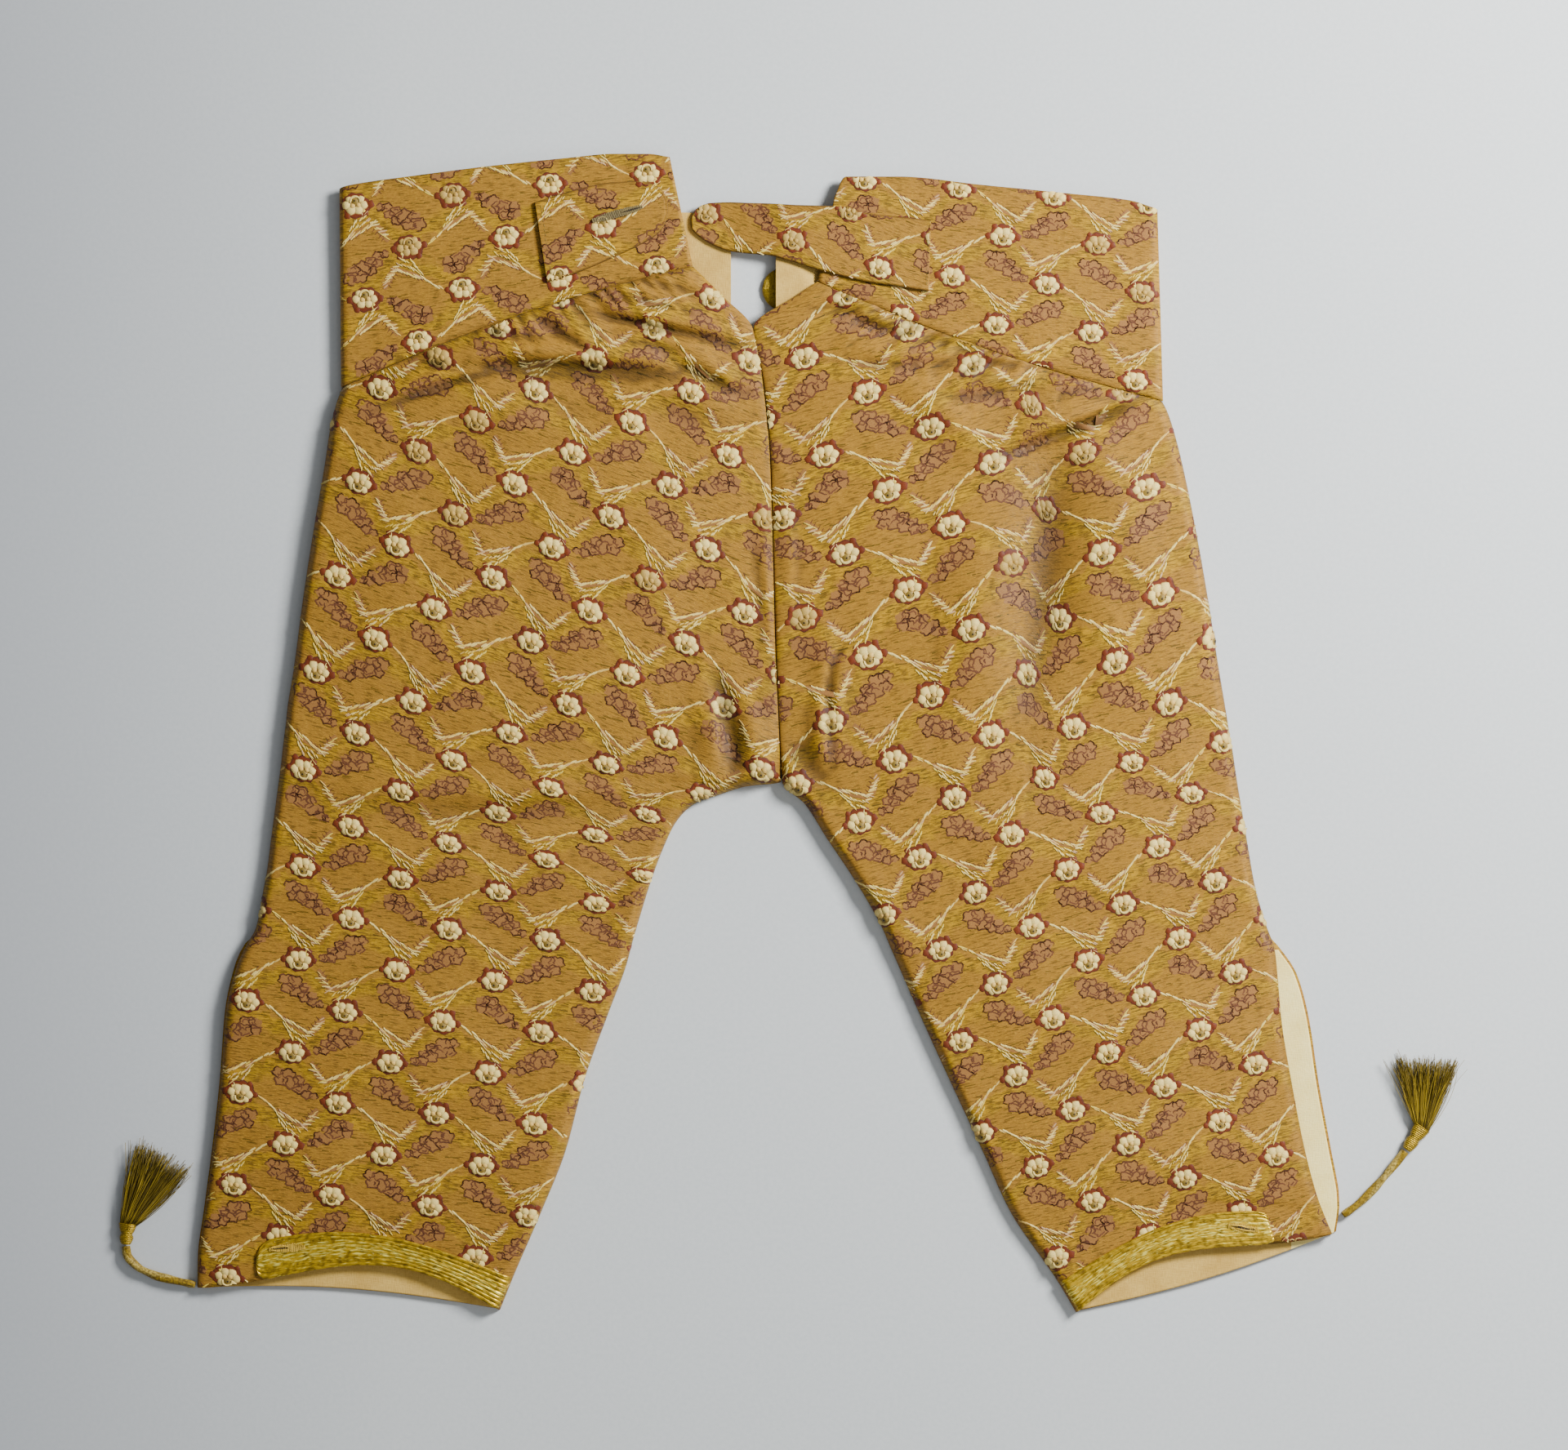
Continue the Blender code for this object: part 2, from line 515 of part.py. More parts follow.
def add_cloth(name, face, back, material):
    """A piece of cloth: a grid for its face, the same grid for its back, and a rim all round."""
    rows, columns = face.shape[:2]
    count = rows * columns
    vertices = [tuple(p) for p in face.reshape(-1, 3)] + [tuple(p) for p in back.reshape(-1, 3)]
    faces = []
    for i in range(rows - 1):
        for j in range(columns - 1):
            a = i * columns + j
            for corner in ((a, a + 1, a + columns + 1), (a, a + columns + 1, a + columns)):
                faces.append(corner)
                faces.append(tuple(count + k for k in reversed(corner)))
    rim = [j for j in range(columns)]
    rim += [i * columns + columns - 1 for i in range(1, rows)]
    rim += [(rows - 1) * columns + j for j in range(columns - 2, -1, -1)]
    rim += [i * columns for i in range(rows - 2, 0, -1)]
    for a, b in zip(rim, rim[1:] + rim[:1]):
        faces.append((b, a, count + a, count + b))
    return add_mesh(name, vertices, faces, material)


def flat_cloth(name, points, base, wall, material):
    """A piece of cloth that lies flat, from its plan points."""
    low = np.full(points.shape[:2] + (1,), base)
    face = np.concatenate([points, low + wall], axis=2)
    back = np.concatenate([points, low], axis=2)
    return add_cloth(name, face, back, material)


def front_points(table, top_rows, hem_bow, slit, shift, inset, first):
    """Plan grid of a front panel or of its lining, from a section number down to the hem."""
    top = named(FRONT_COLUMNS, top_rows)
    kept = {key: values[FRONTS_MEET:] for key, values in table.items()}
    merged = {key: np.concatenate([top[key], kept[key]]) for key in FRONT_COLUMNS}
    added = len(top_rows)
    reach = np.concatenate([np.zeros(added), kept["reach"]])
    outer = ends(merged, "outer")
    inner = ends(merged, "inner", shift)
    below_slit = np.arange(len(outer)) - added + FRONTS_MEET > slit
    outer_inset = np.where(below_slit, inset - FRONT_INSET - reach, inset)
    inner_inset = np.where(np.arange(len(outer)) - added + FRONTS_MEET < CROTCH, 0.0, inset)
    inner_inset[CROTCH + added - FRONTS_MEET] += CROTCH_INSET
    placed_outer = moved_in(outer, inner, outer_inset)
    placed_outer[0] = outer[0]
    placed_inner = moved_in(inner, outer, inner_inset)
    bow = np.zeros(len(outer))
    bow[-1] = hem_bow
    bow[-2] = hem_bow * 0.6
    start = 0 if first is None else first - FRONTS_MEET + added
    places = np.broadcast_to(np.linspace(0, 1, FRONT_PARTS + 1), (len(outer), FRONT_PARTS + 1))
    points = line_across(placed_outer, placed_inner, bow, np.ones(len(outer)), places)
    return points[start:]


def waist_grids(back_rows, front_rows, side_fold, table, front_seam, rows, lift):
    """The two faces of a waistband half, from the centre back round the side to the centre front."""
    down = np.linspace(0, 1, rows)
    fold = dict(zip(SIDE_FOLD_COLUMNS, side_fold))
    outward = math.copysign(1.0, fold["seam_x"])
    faces = ([], [])

    def station(top, seam, heights):
        for grid, height in zip(faces, heights):
            line = []
            for share in down:
                x = top[0] + (seam[0] - top[0]) * share
                y = top[1] + (seam[1] - top[1]) * share
                line.append((x, y, height(x, y)))
            grid.append(line)

    for top_x, top_y, seam_x, height in back_rows:
        seam = (seam_x, float(seam_height(table, seam_x)) + SEAM_GAP)
        over = [lambda x, y, h=height: h, lambda x, y, h=height: h - WAIST_WALL]
        station((top_x, top_y), seam, over)
    for angle in SIDE_FOLD_ANGLES:
        a = math.radians(angle)
        share = angle / 180.0
        top_y = fold["back_top_y"] + (fold["front_top_y"] - fold["back_top_y"]) * share
        for grid, radius in zip(faces, (SIDE_FOLD_RADIUS, SIDE_FOLD_RADIUS - WAIST_WALL)):
            out = outward * radius * math.sin(a)
            z = SIDE_FOLD_RADIUS + radius * math.cos(a)
            seam_x = fold["seam_x"] + out
            seam_y = float(seam_height(table, seam_x)) + SEAM_GAP
            if angle == 180.0:
                seam_y = float(np.interp(outward * seam_x, *sorted_seam(front_seam, outward)))
            line = []
            for part in down:
                x = fold["top_x"] + out + (fold["seam_x"] - fold["top_x"]) * part
                line.append((x, top_y + (seam_y - top_y) * part, z))
            grid.append(line)
    for top_x, top_y, seam_x, _ in front_rows:
        seam_y = float(np.interp(outward * seam_x, *sorted_seam(front_seam, outward)))
        under = [lambda x, y: lift(x, y), lambda x, y: lift(x, y) + WAIST_WALL]
        station((top_x, top_y), (seam_x, seam_y), under)
    return np.array(faces[0]), np.array(faces[1])


def sorted_seam(seam, outward):
    """The two points of a front seam line, in the order that interpolation needs."""
    points = sorted((outward * x, y) for x, y in seam)
    return [p[0] for p in points], [p[1] for p in points]


def waist_lining(name, inside, stations):
    """Lining on the inside of the front waistband beside the centre front."""
    part = inside[-stations:]
    face = part + np.array([0, 0, REST_GAP + LINING_WALL])
    back = part + np.array([0, 0, REST_GAP])
    return add_cloth(name, face, back, "lining")


def add_tab(name, rows):
    """A strap or tab with a round tip, which lies on the waistband."""
    table = named(TAB_COLUMNS, rows)
    upper = np.stack([table["upper_x"], table["upper_y"]], axis=1)
    lower = np.stack([table["lower_x"], table["lower_y"]], axis=1)
    share = np.linspace(0, 1, TAB_ROWS)[None, :, None]
    points = upper[:, None] + (lower - upper)[:, None] * share
    base = np.broadcast_to(table["base"][:, None, None], points.shape[:2] + (1,))
    face = np.concatenate([points, base + STRAP_WALL], axis=2)
    back = np.concatenate([points, base], axis=2)
    return add_cloth(name, face, back, "brocade")


def grid_normals(grid):
    """Upward normals of a surface grid."""
    across = np.gradient(grid, axis=1)
    down = np.gradient(grid, axis=0)
    normal = np.cross(across, down)
    normal /= np.linalg.norm(normal, axis=2)[..., None]
    return normal * np.where(normal[..., 2:] < 0, -1, 1)


def add_braid(name, surface, first, end_share):
    """Gold braid on the last rows of a back panel, with its outer end drawn in."""
    normals = grid_normals(surface)
    columns = slice(first, surface.shape[1] - BRAID_LAST)
    grid = surface[-BRAID_ROWS:, columns]
    lift = normals[-BRAID_ROWS:, columns]
    ends_in = grid.copy()
    middle = (grid[0, 0] + grid[-1, 0]) / 2
    for i in range(BRAID_ROWS):
        ends_in[i, 0] = middle + (grid[i, 0] - middle) * end_share
    face = ends_in + lift * (REST_GAP + BRAID_WALL)
    back = ends_in + lift * REST_GAP
    return add_cloth(name, face, back, "gold_braid")


def add_button():
    """A thread-covered button, a thick lens."""
    vertices = []
    faces = []
    turn = 2 * math.pi / BUTTON_SIDES
    for radius, height in BUTTON_PROFILE:
        for k in range(BUTTON_SIDES):
            x = BUTTON_X + radius * math.cos(k * turn)
            y = BUTTON_Y + radius * math.sin(k * turn)
            vertices.append((x, y, height))
    for ring in range(len(BUTTON_PROFILE) - 1):
        for k in range(BUTTON_SIDES):
            a = ring * BUTTON_SIDES + k
            b = ring * BUTTON_SIDES + (k + 1) % BUTTON_SIDES
            faces.append((a, b, b + BUTTON_SIDES, a + BUTTON_SIDES))
    faces.append(tuple(reversed(range(BUTTON_SIDES))))
    last = (len(BUTTON_PROFILE) - 1) * BUTTON_SIDES
    faces.append(tuple(last + k for k in range(BUTTON_SIDES)))
    return add_mesh("button_waist", vertices, faces, "gold_thread")


def smooth_route(route, step):
    """Points at even steps along a smooth curve through the points of a route."""
    points = [np.array(p, float) for p in route]
    padded = [2 * points[0] - points[1]] + points + [2 * points[-1] - points[-2]]
    fine = []
    for i in range(len(points) - 1):
        a, b, c, d = padded[i : i + 4]
        for t in np.linspace(0, 1, 12, endpoint=False):
            fine.append(
                0.5 * (2 * b + (c - a) * t + (2 * a - 5 * b + 4 * c - d) * t * t)
                + 0.5 * (3 * b - 3 * c + d - a) * t ** 3
            )
    fine.append(points[-1])
    fine = np.array(fine)
    far = np.concatenate([[0], np.cumsum(np.linalg.norm(np.diff(fine, axis=0), axis=1))])
    count = max(3, round(far[-1] / step) + 1)
    at = np.linspace(0, far[-1], count)
    return np.stack([np.interp(at, far, fine[:, k]) for k in range(2)], axis=1)


def add_cord(name, route):
    """A tie cord on the surface, as a tube."""
    data = bpy.data.curves.new(name, "CURVE")
    data.dimensions = "3D"
    data.bevel_depth = CORD_RADIUS * MM
    data.bevel_resolution = 3
    data.use_fill_caps = True
    points = smooth_route(route, CORD_STEP)
    spline = data.splines.new("POLY")
    spline.points.add(len(points) - 1)
    for point, (x, y) in zip(spline.points, points):
        point.co = ((x + MOVE_X) * MM, (y + MOVE_Y) * MM, CORD_HEIGHT * MM, 1.0)
    spline.use_smooth = True
    data.materials.append(finish("cord"))
    made = bpy.data.objects.new(name, data)
    bpy.context.scene.collection.objects.link(made)
    return made


def round_cell(a, b):
    """A point of a square from -1 to 1 moved to its place in the unit circle."""
    return a * math.sqrt(1 - b * b / 2), b * math.sqrt(1 - a * a / 2)


def add_tassel(name, start, head_end, skirt_end, half_fan):
    """A wrapped head with a fan of strands grown from the cells of its end face."""
    start, head_end, skirt_end = (np.array([*p, TASSEL_HEIGHT]) for p in (start, head_end, skirt_end))
    up = np.array([0.0, 0.0, 1.0])
    axis = (head_end - start) / np.linalg.norm(head_end - start)
    across = np.cross(axis, up)
    skirt = skirt_end - head_end
    fan = np.cross(skirt / np.linalg.norm(skirt), up)
    nx, ny = TASSEL_ACROSS, TASSEL_LAYERS
    edge = [(i, 0) for i in range(nx)] + [(nx, j) for j in range(ny)]
    edge += [(i, ny) for i in range(nx, 0, -1)] + [(0, j) for j in range(ny, 0, -1)]
    vertices = []
    faces = []

    def place(cell, share, half_width, half_height):
        a, b = round_cell(2 * cell[0] / nx - 1, 2 * cell[1] / ny - 1)
        centre = start + (head_end - start) * share
        return centre + across * (a * half_width) + up * (b * half_height)

    for share, half_width, half_height in HEAD:
        vertices += [place(cell, share, half_width, half_height) for cell in edge]
    ring = len(edge)
    for level in range(len(HEAD) - 1):
        for k in range(ring):
            a = level * ring + k
            b = level * ring + (k + 1) % ring
            faces.append((a, b, b + ring, a + ring))
    faces.append(tuple(reversed(range(ring))))
    index = {cell: (len(HEAD) - 1) * ring + k for k, cell in enumerate(edge)}
    for i in range(1, nx):
        for j in range(1, ny):
            index[(i, j)] = len(vertices)
            vertices.append(place((i, j), *HEAD[-1]))
    for i in range(nx):
        for j in range(ny):
            corners = [index[c] for c in ((i, j), (i + 1, j), (i + 1, j + 1), (i, j + 1))]
            root = sum(vertices[c] for c in corners) / 4
            spread = 2 * (i + 0.5) / nx - 1
            uneven = 1 + sum(share * math.sin(p * i + q * j) for share, p, q in STRAND_UNEVEN)
            tip = head_end + skirt * uneven + fan * (spread * half_fan)
            tip[2] = TASSEL_HEIGHT + (2 * (j + 0.5) / ny - 1) * STRAND_SPREAD_Z
            previous = corners
            for share, half in STRAND_SECTIONS:
                centre = root + (tip - root) * share + skirt * (STRAND_SAG * share * (1 - share))
                current = []
                for corner, (s, t) in zip(corners, ((-1, -1), (1, -1), (1, 1), (-1, 1))):
                    current.append(len(vertices))
                    if share == 0:
                        vertices.append(root + (vertices[corner] - root) * STRAND_ROOT)
                    else:
                        vertices.append(centre + fan * (half * s) + up * (half * STRAND_TALL * t))
                for k in range(4):
                    m = (k + 1) % 4
                    faces.append((previous[k], previous[m], current[m], current[k]))
                previous = current
            faces.append(tuple(previous))
    return add_mesh(name, vertices, faces, "tassel")


def build():
    """All the pieces of the breeches."""
    for old in list(bpy.data.objects):
        bpy.data.objects.remove(old, do_unlink=True)
    left = named(SECTION_COLUMNS, BACK_LEFT)
    right = named(SECTION_COLUMNS, BACK_RIGHT)
    sides = (
        ("left", left, -CENTRE_GAP, FRONT_TOP_LEFT, FRONT_HEM_BOW_LEFT, SLIT_LEFT,
         BRAID_FIRST_LEFT, BRAID_END_SHARE_LEFT),
        ("right", right, CENTRE_GAP, FRONT_TOP_RIGHT, FRONT_HEM_BOW_RIGHT, SLIT_RIGHT,
         BRAID_FIRST_RIGHT, BRAID_END_SHARE_RIGHT),
    )
    for side, table, shift, front_top, hem_bow, slit, braid_first, end_share in sides:
        fine = refined(table)
        face = back_surface(fine, shift, 0.0)
        inside = back_surface(fine, shift, BACK_WALL)
        add_cloth("back_" + side, face, inside, "brocade")
        add_braid("braid_" + side, face, braid_first, end_share)
        plan = front_points(table, front_top, hem_bow, slit, shift, FRONT_INSET, None)
        flat_cloth("front_" + side, plan, 0.0, FRONT_WALL, "brocade_front")
        plan = front_points(table, front_top, hem_bow, slit, shift, KNEE_LINING_INSET, slit + 1)
        flat_cloth("lining_knee_" + side, plan, KNEE_LINING_BASE, LINING_WALL, "lining")
    bands = (
        ("left", WAIST_BACK_LEFT, WAIST_FRONT_LEFT, SIDE_FOLD_LEFT, left, FRONT_SEAM_LEFT,
         WAIST_ROWS_LEFT, lambda x, y: 0.0, WAIST_LINING_STATIONS_LEFT),
        ("right", WAIST_BACK_RIGHT, WAIST_FRONT_RIGHT, SIDE_FOLD_RIGHT, right, FRONT_SEAM_RIGHT,
         WAIST_ROWS_RIGHT, button_lift, WAIST_LINING_STATIONS_RIGHT),
    )
    for side, back_rows, front_rows, fold, table, seam, rows, lift, stations in bands:
        face, inside = waist_grids(back_rows, front_rows, fold, table, seam, rows, lift)
        add_cloth("waistband_" + side, face, inside, "brocade")
        waist_lining("lining_waist_" + side, inside, stations)
    add_tab("strap_right", STRAP)
    add_tab("tab_left", TAB)
    add_button()
    add_cord("tie_cord_left", CORD_LEFT)
    add_cord("tie_cord_right", CORD_RIGHT)
    add_tassel("tassel_left", *TASSEL_LEFT)
    add_tassel("tassel_right", *TASSEL_RIGHT)


build()
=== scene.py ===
"""Brocaded silk knee breeches, laid flat with the back uppermost.

Plan sizes are millimetres until a mesh is made. X runs to the right, Y up to the waist and Z comes
off the surface that the garment lies on. The brocade's own coordinates count repeats of its
pattern: across the cloth, and down it.
"""

import math

import bmesh
import bpy
import numpy as np
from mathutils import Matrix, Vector
from mathutils.bvhtree import BVHTree


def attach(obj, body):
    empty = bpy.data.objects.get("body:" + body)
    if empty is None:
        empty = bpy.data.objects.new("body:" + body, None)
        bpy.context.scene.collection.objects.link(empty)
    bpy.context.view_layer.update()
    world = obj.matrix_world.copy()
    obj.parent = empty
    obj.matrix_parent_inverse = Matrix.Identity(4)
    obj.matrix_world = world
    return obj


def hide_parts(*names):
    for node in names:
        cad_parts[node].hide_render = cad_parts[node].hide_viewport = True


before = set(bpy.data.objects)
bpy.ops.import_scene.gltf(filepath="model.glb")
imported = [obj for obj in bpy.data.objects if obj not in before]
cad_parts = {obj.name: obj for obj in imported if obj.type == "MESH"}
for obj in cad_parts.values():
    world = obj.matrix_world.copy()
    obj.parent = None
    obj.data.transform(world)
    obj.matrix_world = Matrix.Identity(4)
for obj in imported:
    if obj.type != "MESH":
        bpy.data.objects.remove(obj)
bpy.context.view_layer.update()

MM = 0.001
MOVE = np.array([0.55, 0.45, 0.0])

# The photograph: its size and centre, and the pixel that is the origin of the plan
PHOTO_WIDTH_PX = 1920
PHOTO_CENTRE_PX = (960.0, 888.0)
PLAN_ORIGIN_PX = (942.0, 897.5)
MM_PER_PX = 0.45
CAMERA_HEIGHT = 3.0
MEAN_CLOTH_HEIGHT = 0.008
SENSOR_MM = 36.0

# Cloth and seams, as in the solids
BACK_WALL = 1.6
FRONT_WALL = 1.2
WAIST_WALL = 2.0
LINING_WALL = 1.0
STRAP_WALL = 1.8
BRAID_WALL = 1.1
SEAM_GAP = 0.35
CENTRE_GAP = 0.2
REST_GAP = 0.3
ROLL = 5.5
FRONT_INSET = BACK_WALL + 0.5
KNEE_LINING_INSET = BACK_WALL + 2.0
KNEE_LINING_BASE = FRONT_WALL + REST_GAP
UNDERSIDE = 0.3

# Mesh lines of the back panels
BACK_ROWS = 236
BACK_COLUMNS = 108
ROLL_COLUMNS = 7
EDGE_WINDOW = 16

# Sections of the back panels, from the waist seam to the hem
SECTION_COLUMNS = (
    "outer_x", "outer_y", "inner_x", "inner_y", "bow", "skew",
    "height", "crown", "outer_foot", "inner_foot", "reach",
)
BACK_LEFT = (
    (-236.2, 190.1, -41.9, 257.2, 6.0, 1.0, 9.0, 0.0, 0.0, 5.2, 0.0),
    (-239.4, 181.1, -25.7, 241.0, 5.0, 1.0, 10.0, 1.0, 0.0, 6.0, 0.0),
    (-242.6, 167.6, -9.0, 223.0, 3.0, 1.0, 10.0, 2.0, 0.0, 8.6, 0.0),
    (-245.7, 147.4, -3.6, 194.6, 0.0, 1.0, 10.0, 3.0, 0.0, 8.8, 0.0),
    (-251.1, 115.9, 0.5, 151.9, 0.0, 1.0, 10.0, 3.5, 0.0, 9.0, 0.0),
    (-257.4, 75.4, 2.2, 97.9, 0.0, 1.0, 10.0, 3.5, 0.0, 9.0, 0.0),
    (-262.8, 34.9, 3.6, 43.9, 0.0, 1.0, 10.0, 3.0, 0.0, 9.0, 0.0),
    (-266.4, 12.4, 5.4, 3.4, 0.0, 1.0, 9.5, 2.5, 0.0, 8.8, 0.0),
    (-267.0, 6.0, 6.0, -11.0, 0.0, 1.0, 9.5, 2.0, 0.0, 7.8, 0.0),
    (-268.2, -3.4, 6.8, -26.8, 0.0, 1.0, 9.5, 2.0, 0.0, 0.0, 0.0),
    (-270.0, -19.1, -13.5, -29.9, 0.0, 1.0, 9.0, 1.5, 0.0, 0.0, 0.0),
    (-271.8, -32.6, -27.9, -34.4, 0.0, 1.0, 9.0, 1.5, 0.0, 0.0, 0.0),
    (-273.6, -46.1, -40.5, -38.9, 0.0, 1.0, 9.0, 1.5, 0.0, 0.0, 0.0),
    (-275.4, -59.6, -50.9, -48.8, 0.0, 1.0, 9.0, 1.5, 0.0, 0.0, 0.0),
    (-277.2, -74.0, -58.5, -64.1, 0.0, 1.0, 9.0, 1.5, 0.0, 0.0, 0.0),
    (-279.9, -88.9, -65.2, -82.1, 0.0, 1.0, 9.0, 1.5, 0.0, 0.0, 0.0),
    (-283.1, -106.9, -71.5, -102.4, 0.0, 1.0, 8.5, 1.5, 3.1, 0.0, 0.0),
    (-288.9, -118.1, -75.2, -115.0, 0.0, 1.0, 8.5, 1.5, 4.4, 0.0, 1.5),
    (-293.9, -129.4, -78.8, -128.5, 0.0, 1.0, 8.5, 1.5, 4.4, 0.0, 1.5),
    (-299.7, -154.1, -88.7, -155.0, 0.0, 1.0, 8.5, 1.5, 4.4, 0.0, 1.0),
    (-302.4, -190.1, -101.7, -191.0, 0.0, 1.0, 8.5, 1.5, 4.4, 0.0, 1.0),
    (-306.9, -230.6, -112.5, -231.5, 0.0, 1.0, 8.2, 1.5, 4.4, 0.0, 1.0),
    (-311.4, -264.4, -126.0, -265.3, 6.0, 1.0, 7.6, 1.0, 4.4, 0.0, 1.0),
    (-314.6, -289.1, -141.3, -300.8, 19.5, 1.0, 6.6, 0.5, 4.4, 0.0, 1.0),
    (-315.4, -306.2, -148.5, -318.8, 20.0, 1.4, 6.0, 0.5, 4.4, 0.0, 0.5),
)
BACK_RIGHT = (
    (217.3, 182.5, 26.1, 248.6, -5.0, 1.0, 9.0, 0.0, 0.0, 8.4, 0.0),
    (219.6, 178.0, 14.8, 241.0, -4.0, 1.0, 10.0, 1.0, 0.0, 8.9, 0.0),
    (223.2, 167.6, -9.0, 223.0, -2.0, 1.0, 10.0, 2.0, 0.0, 8.6, 0.0),
    (228.6, 146.5, -3.6, 194.6, 0.0, 1.0, 10.0, 3.0, 0.0, 8.8, 0.0),
    (234.9, 115.9, 0.5, 151.9, 0.0, 1.0, 10.0, 3.5, 0.0, 9.0, 0.0),
    (242.1, 75.4, 2.2, 97.9, 0.0, 1.0, 10.0, 3.5, 0.0, 9.0, 0.0),
    (248.4, 34.9, 3.6, 43.9, 0.0, 1.0, 10.0, 3.0, 0.0, 9.0, 0.0),
    (252.9, 7.9, 5.4, 3.4, 0.0, 1.0, 9.5, 2.5, 0.0, 8.8, 0.0),
    (253.9, 1.0, 6.0, -11.0, 0.0, 1.0, 9.5, 2.0, 0.0, 7.8, 0.0),
    (255.6, -7.9, 6.8, -26.8, 0.0, 1.0, 9.5, 2.0, 0.0, 0.0, 0.0),
    (258.3, -25.9, 19.4, -39.4, 0.0, 1.0, 9.0, 1.5, 0.0, 0.0, 0.0),
    (262.4, -50.6, 31.5, -58.3, 0.0, 1.0, 9.0, 1.5, 0.0, 0.0, 0.0),
    (268.7, -86.6, 46.8, -81.2, 0.0, 1.0, 9.0, 1.5, 0.0, 0.0, 0.0),
    (274.5, -106.9, 61.2, -106.0, 0.0, 1.0, 8.5, 1.5, 3.1, 0.0, 0.0),
    (279.0, -120.4, 67.5, -120.4, 0.0, 1.0, 8.5, 1.5, 4.4, 0.0, 3.6),
    (280.4, -133.9, 73.4, -133.9, 0.0, 1.0, 8.5, 1.5, 4.4, 0.0, 10.8),
    (282.6, -158.6, 84.6, -159.5, 0.0, 1.0, 8.5, 1.5, 4.4, 0.0, 15.3),
    (288.9, -196.9, 101.7, -196.9, 0.0, 1.0, 8.5, 1.5, 4.4, 0.0, 14.9),
    (296.1, -232.9, 118.4, -232.9, 0.0, 1.0, 8.2, 1.5, 4.4, 0.0, 14.4),
    (302.9, -257.6, 132.8, -264.4, 6.0, 1.0, 7.6, 1.0, 4.4, 0.0, 12.2),
    (306.0, -265.7, 159.3, -303.5, 17.5, 1.05, 6.6, 0.5, 4.4, 0.0, 9.5),
    (310.5, -276.5, 169.2, -320.2, 16.0, 1.6, 6.0, 0.5, 4.4, 0.0, 2.7),
)
SLIT_LEFT = 16
SLIT_RIGHT = 13
FRONT_COLUMNS = ("outer_x", "outer_y", "inner_x", "inner_y")
FRONT_TOP_LEFT = (
    (-233.8, 190.5, -21.2, 224.8),
    (-242.6, 167.6, -15.3, 199.0),
)
FRONT_TOP_RIGHT = (
    (214.9, 182.7, 3.6, 224.8),
    (223.2, 167.6, 2.6, 199.0),
)
FRONTS_MEET = 4
CROTCH = 9
CROTCH_INSET = 0.6
FRONT_HEM_BOW_LEFT = 5.0
FRONT_HEM_BOW_RIGHT = -4.0
FRONT_PARTS = 8

# Folds and creases of the backs. Each runs through three points. Rise is its height, or the depth
# of a valley where it is negative; left and right are its widths on the two sides of the run.
FOLD_COLUMNS = ("x0", "y0", "x1", "y1", "x2", "y2", "rise", "left", "right")
FOLDS = (
    (-129.2, 232.9, -108.9, 219.4, -99.0, 211.7, 2.8, 9.0, 2.0),
    (-93.2, 232.9, -63.9, 227.5, -16.7, 217.6, 3.4, 8.0, 2.0),
    (-178.7, 205.0, -117.9, 207.2, -52.6, 202.7, 4.6, 12.0, 2.4),
    (-54.0, 210.4, -34.2, 200.5, -16.7, 192.4, 2.8, 9.0, 2.4),
    (-207.9, 186.1, -178.7, 196.0, -149.4, 204.1, 3.0, 9.0, 2.4),
    (-243.9, -27.2, -144.9, -33.5, -45.9, -26.8, 2.4, 14.0, 6.0),
    (44.1, 234.7, 59.9, 226.6, 76.5, 224.8, 2.4, 7.0, 2.2),
    (134.1, 158.6, 161.1, 169.9, 198.0, 185.2, 4.4, 14.0, 2.4),
    (156.6, 158.6, 152.1, 79.9, 144.0, -1.1, -6.0, 17.0, 15.0),
    (26.1, 66.4, 34.2, 16.9, 22.5, -23.6, 1.8, 7.0, 7.0),
    (-31.5, 30.4, -27.9, 3.4, -33.3, -19.1, 1.8, 7.0, 7.0),
    (-5.4, 14.6, -5.4, -5.6, -5.4, -19.1, 1.6, 11.0, 11.0),
)
FOLD_STEPS = 12
FOLD_LIP = 0.3
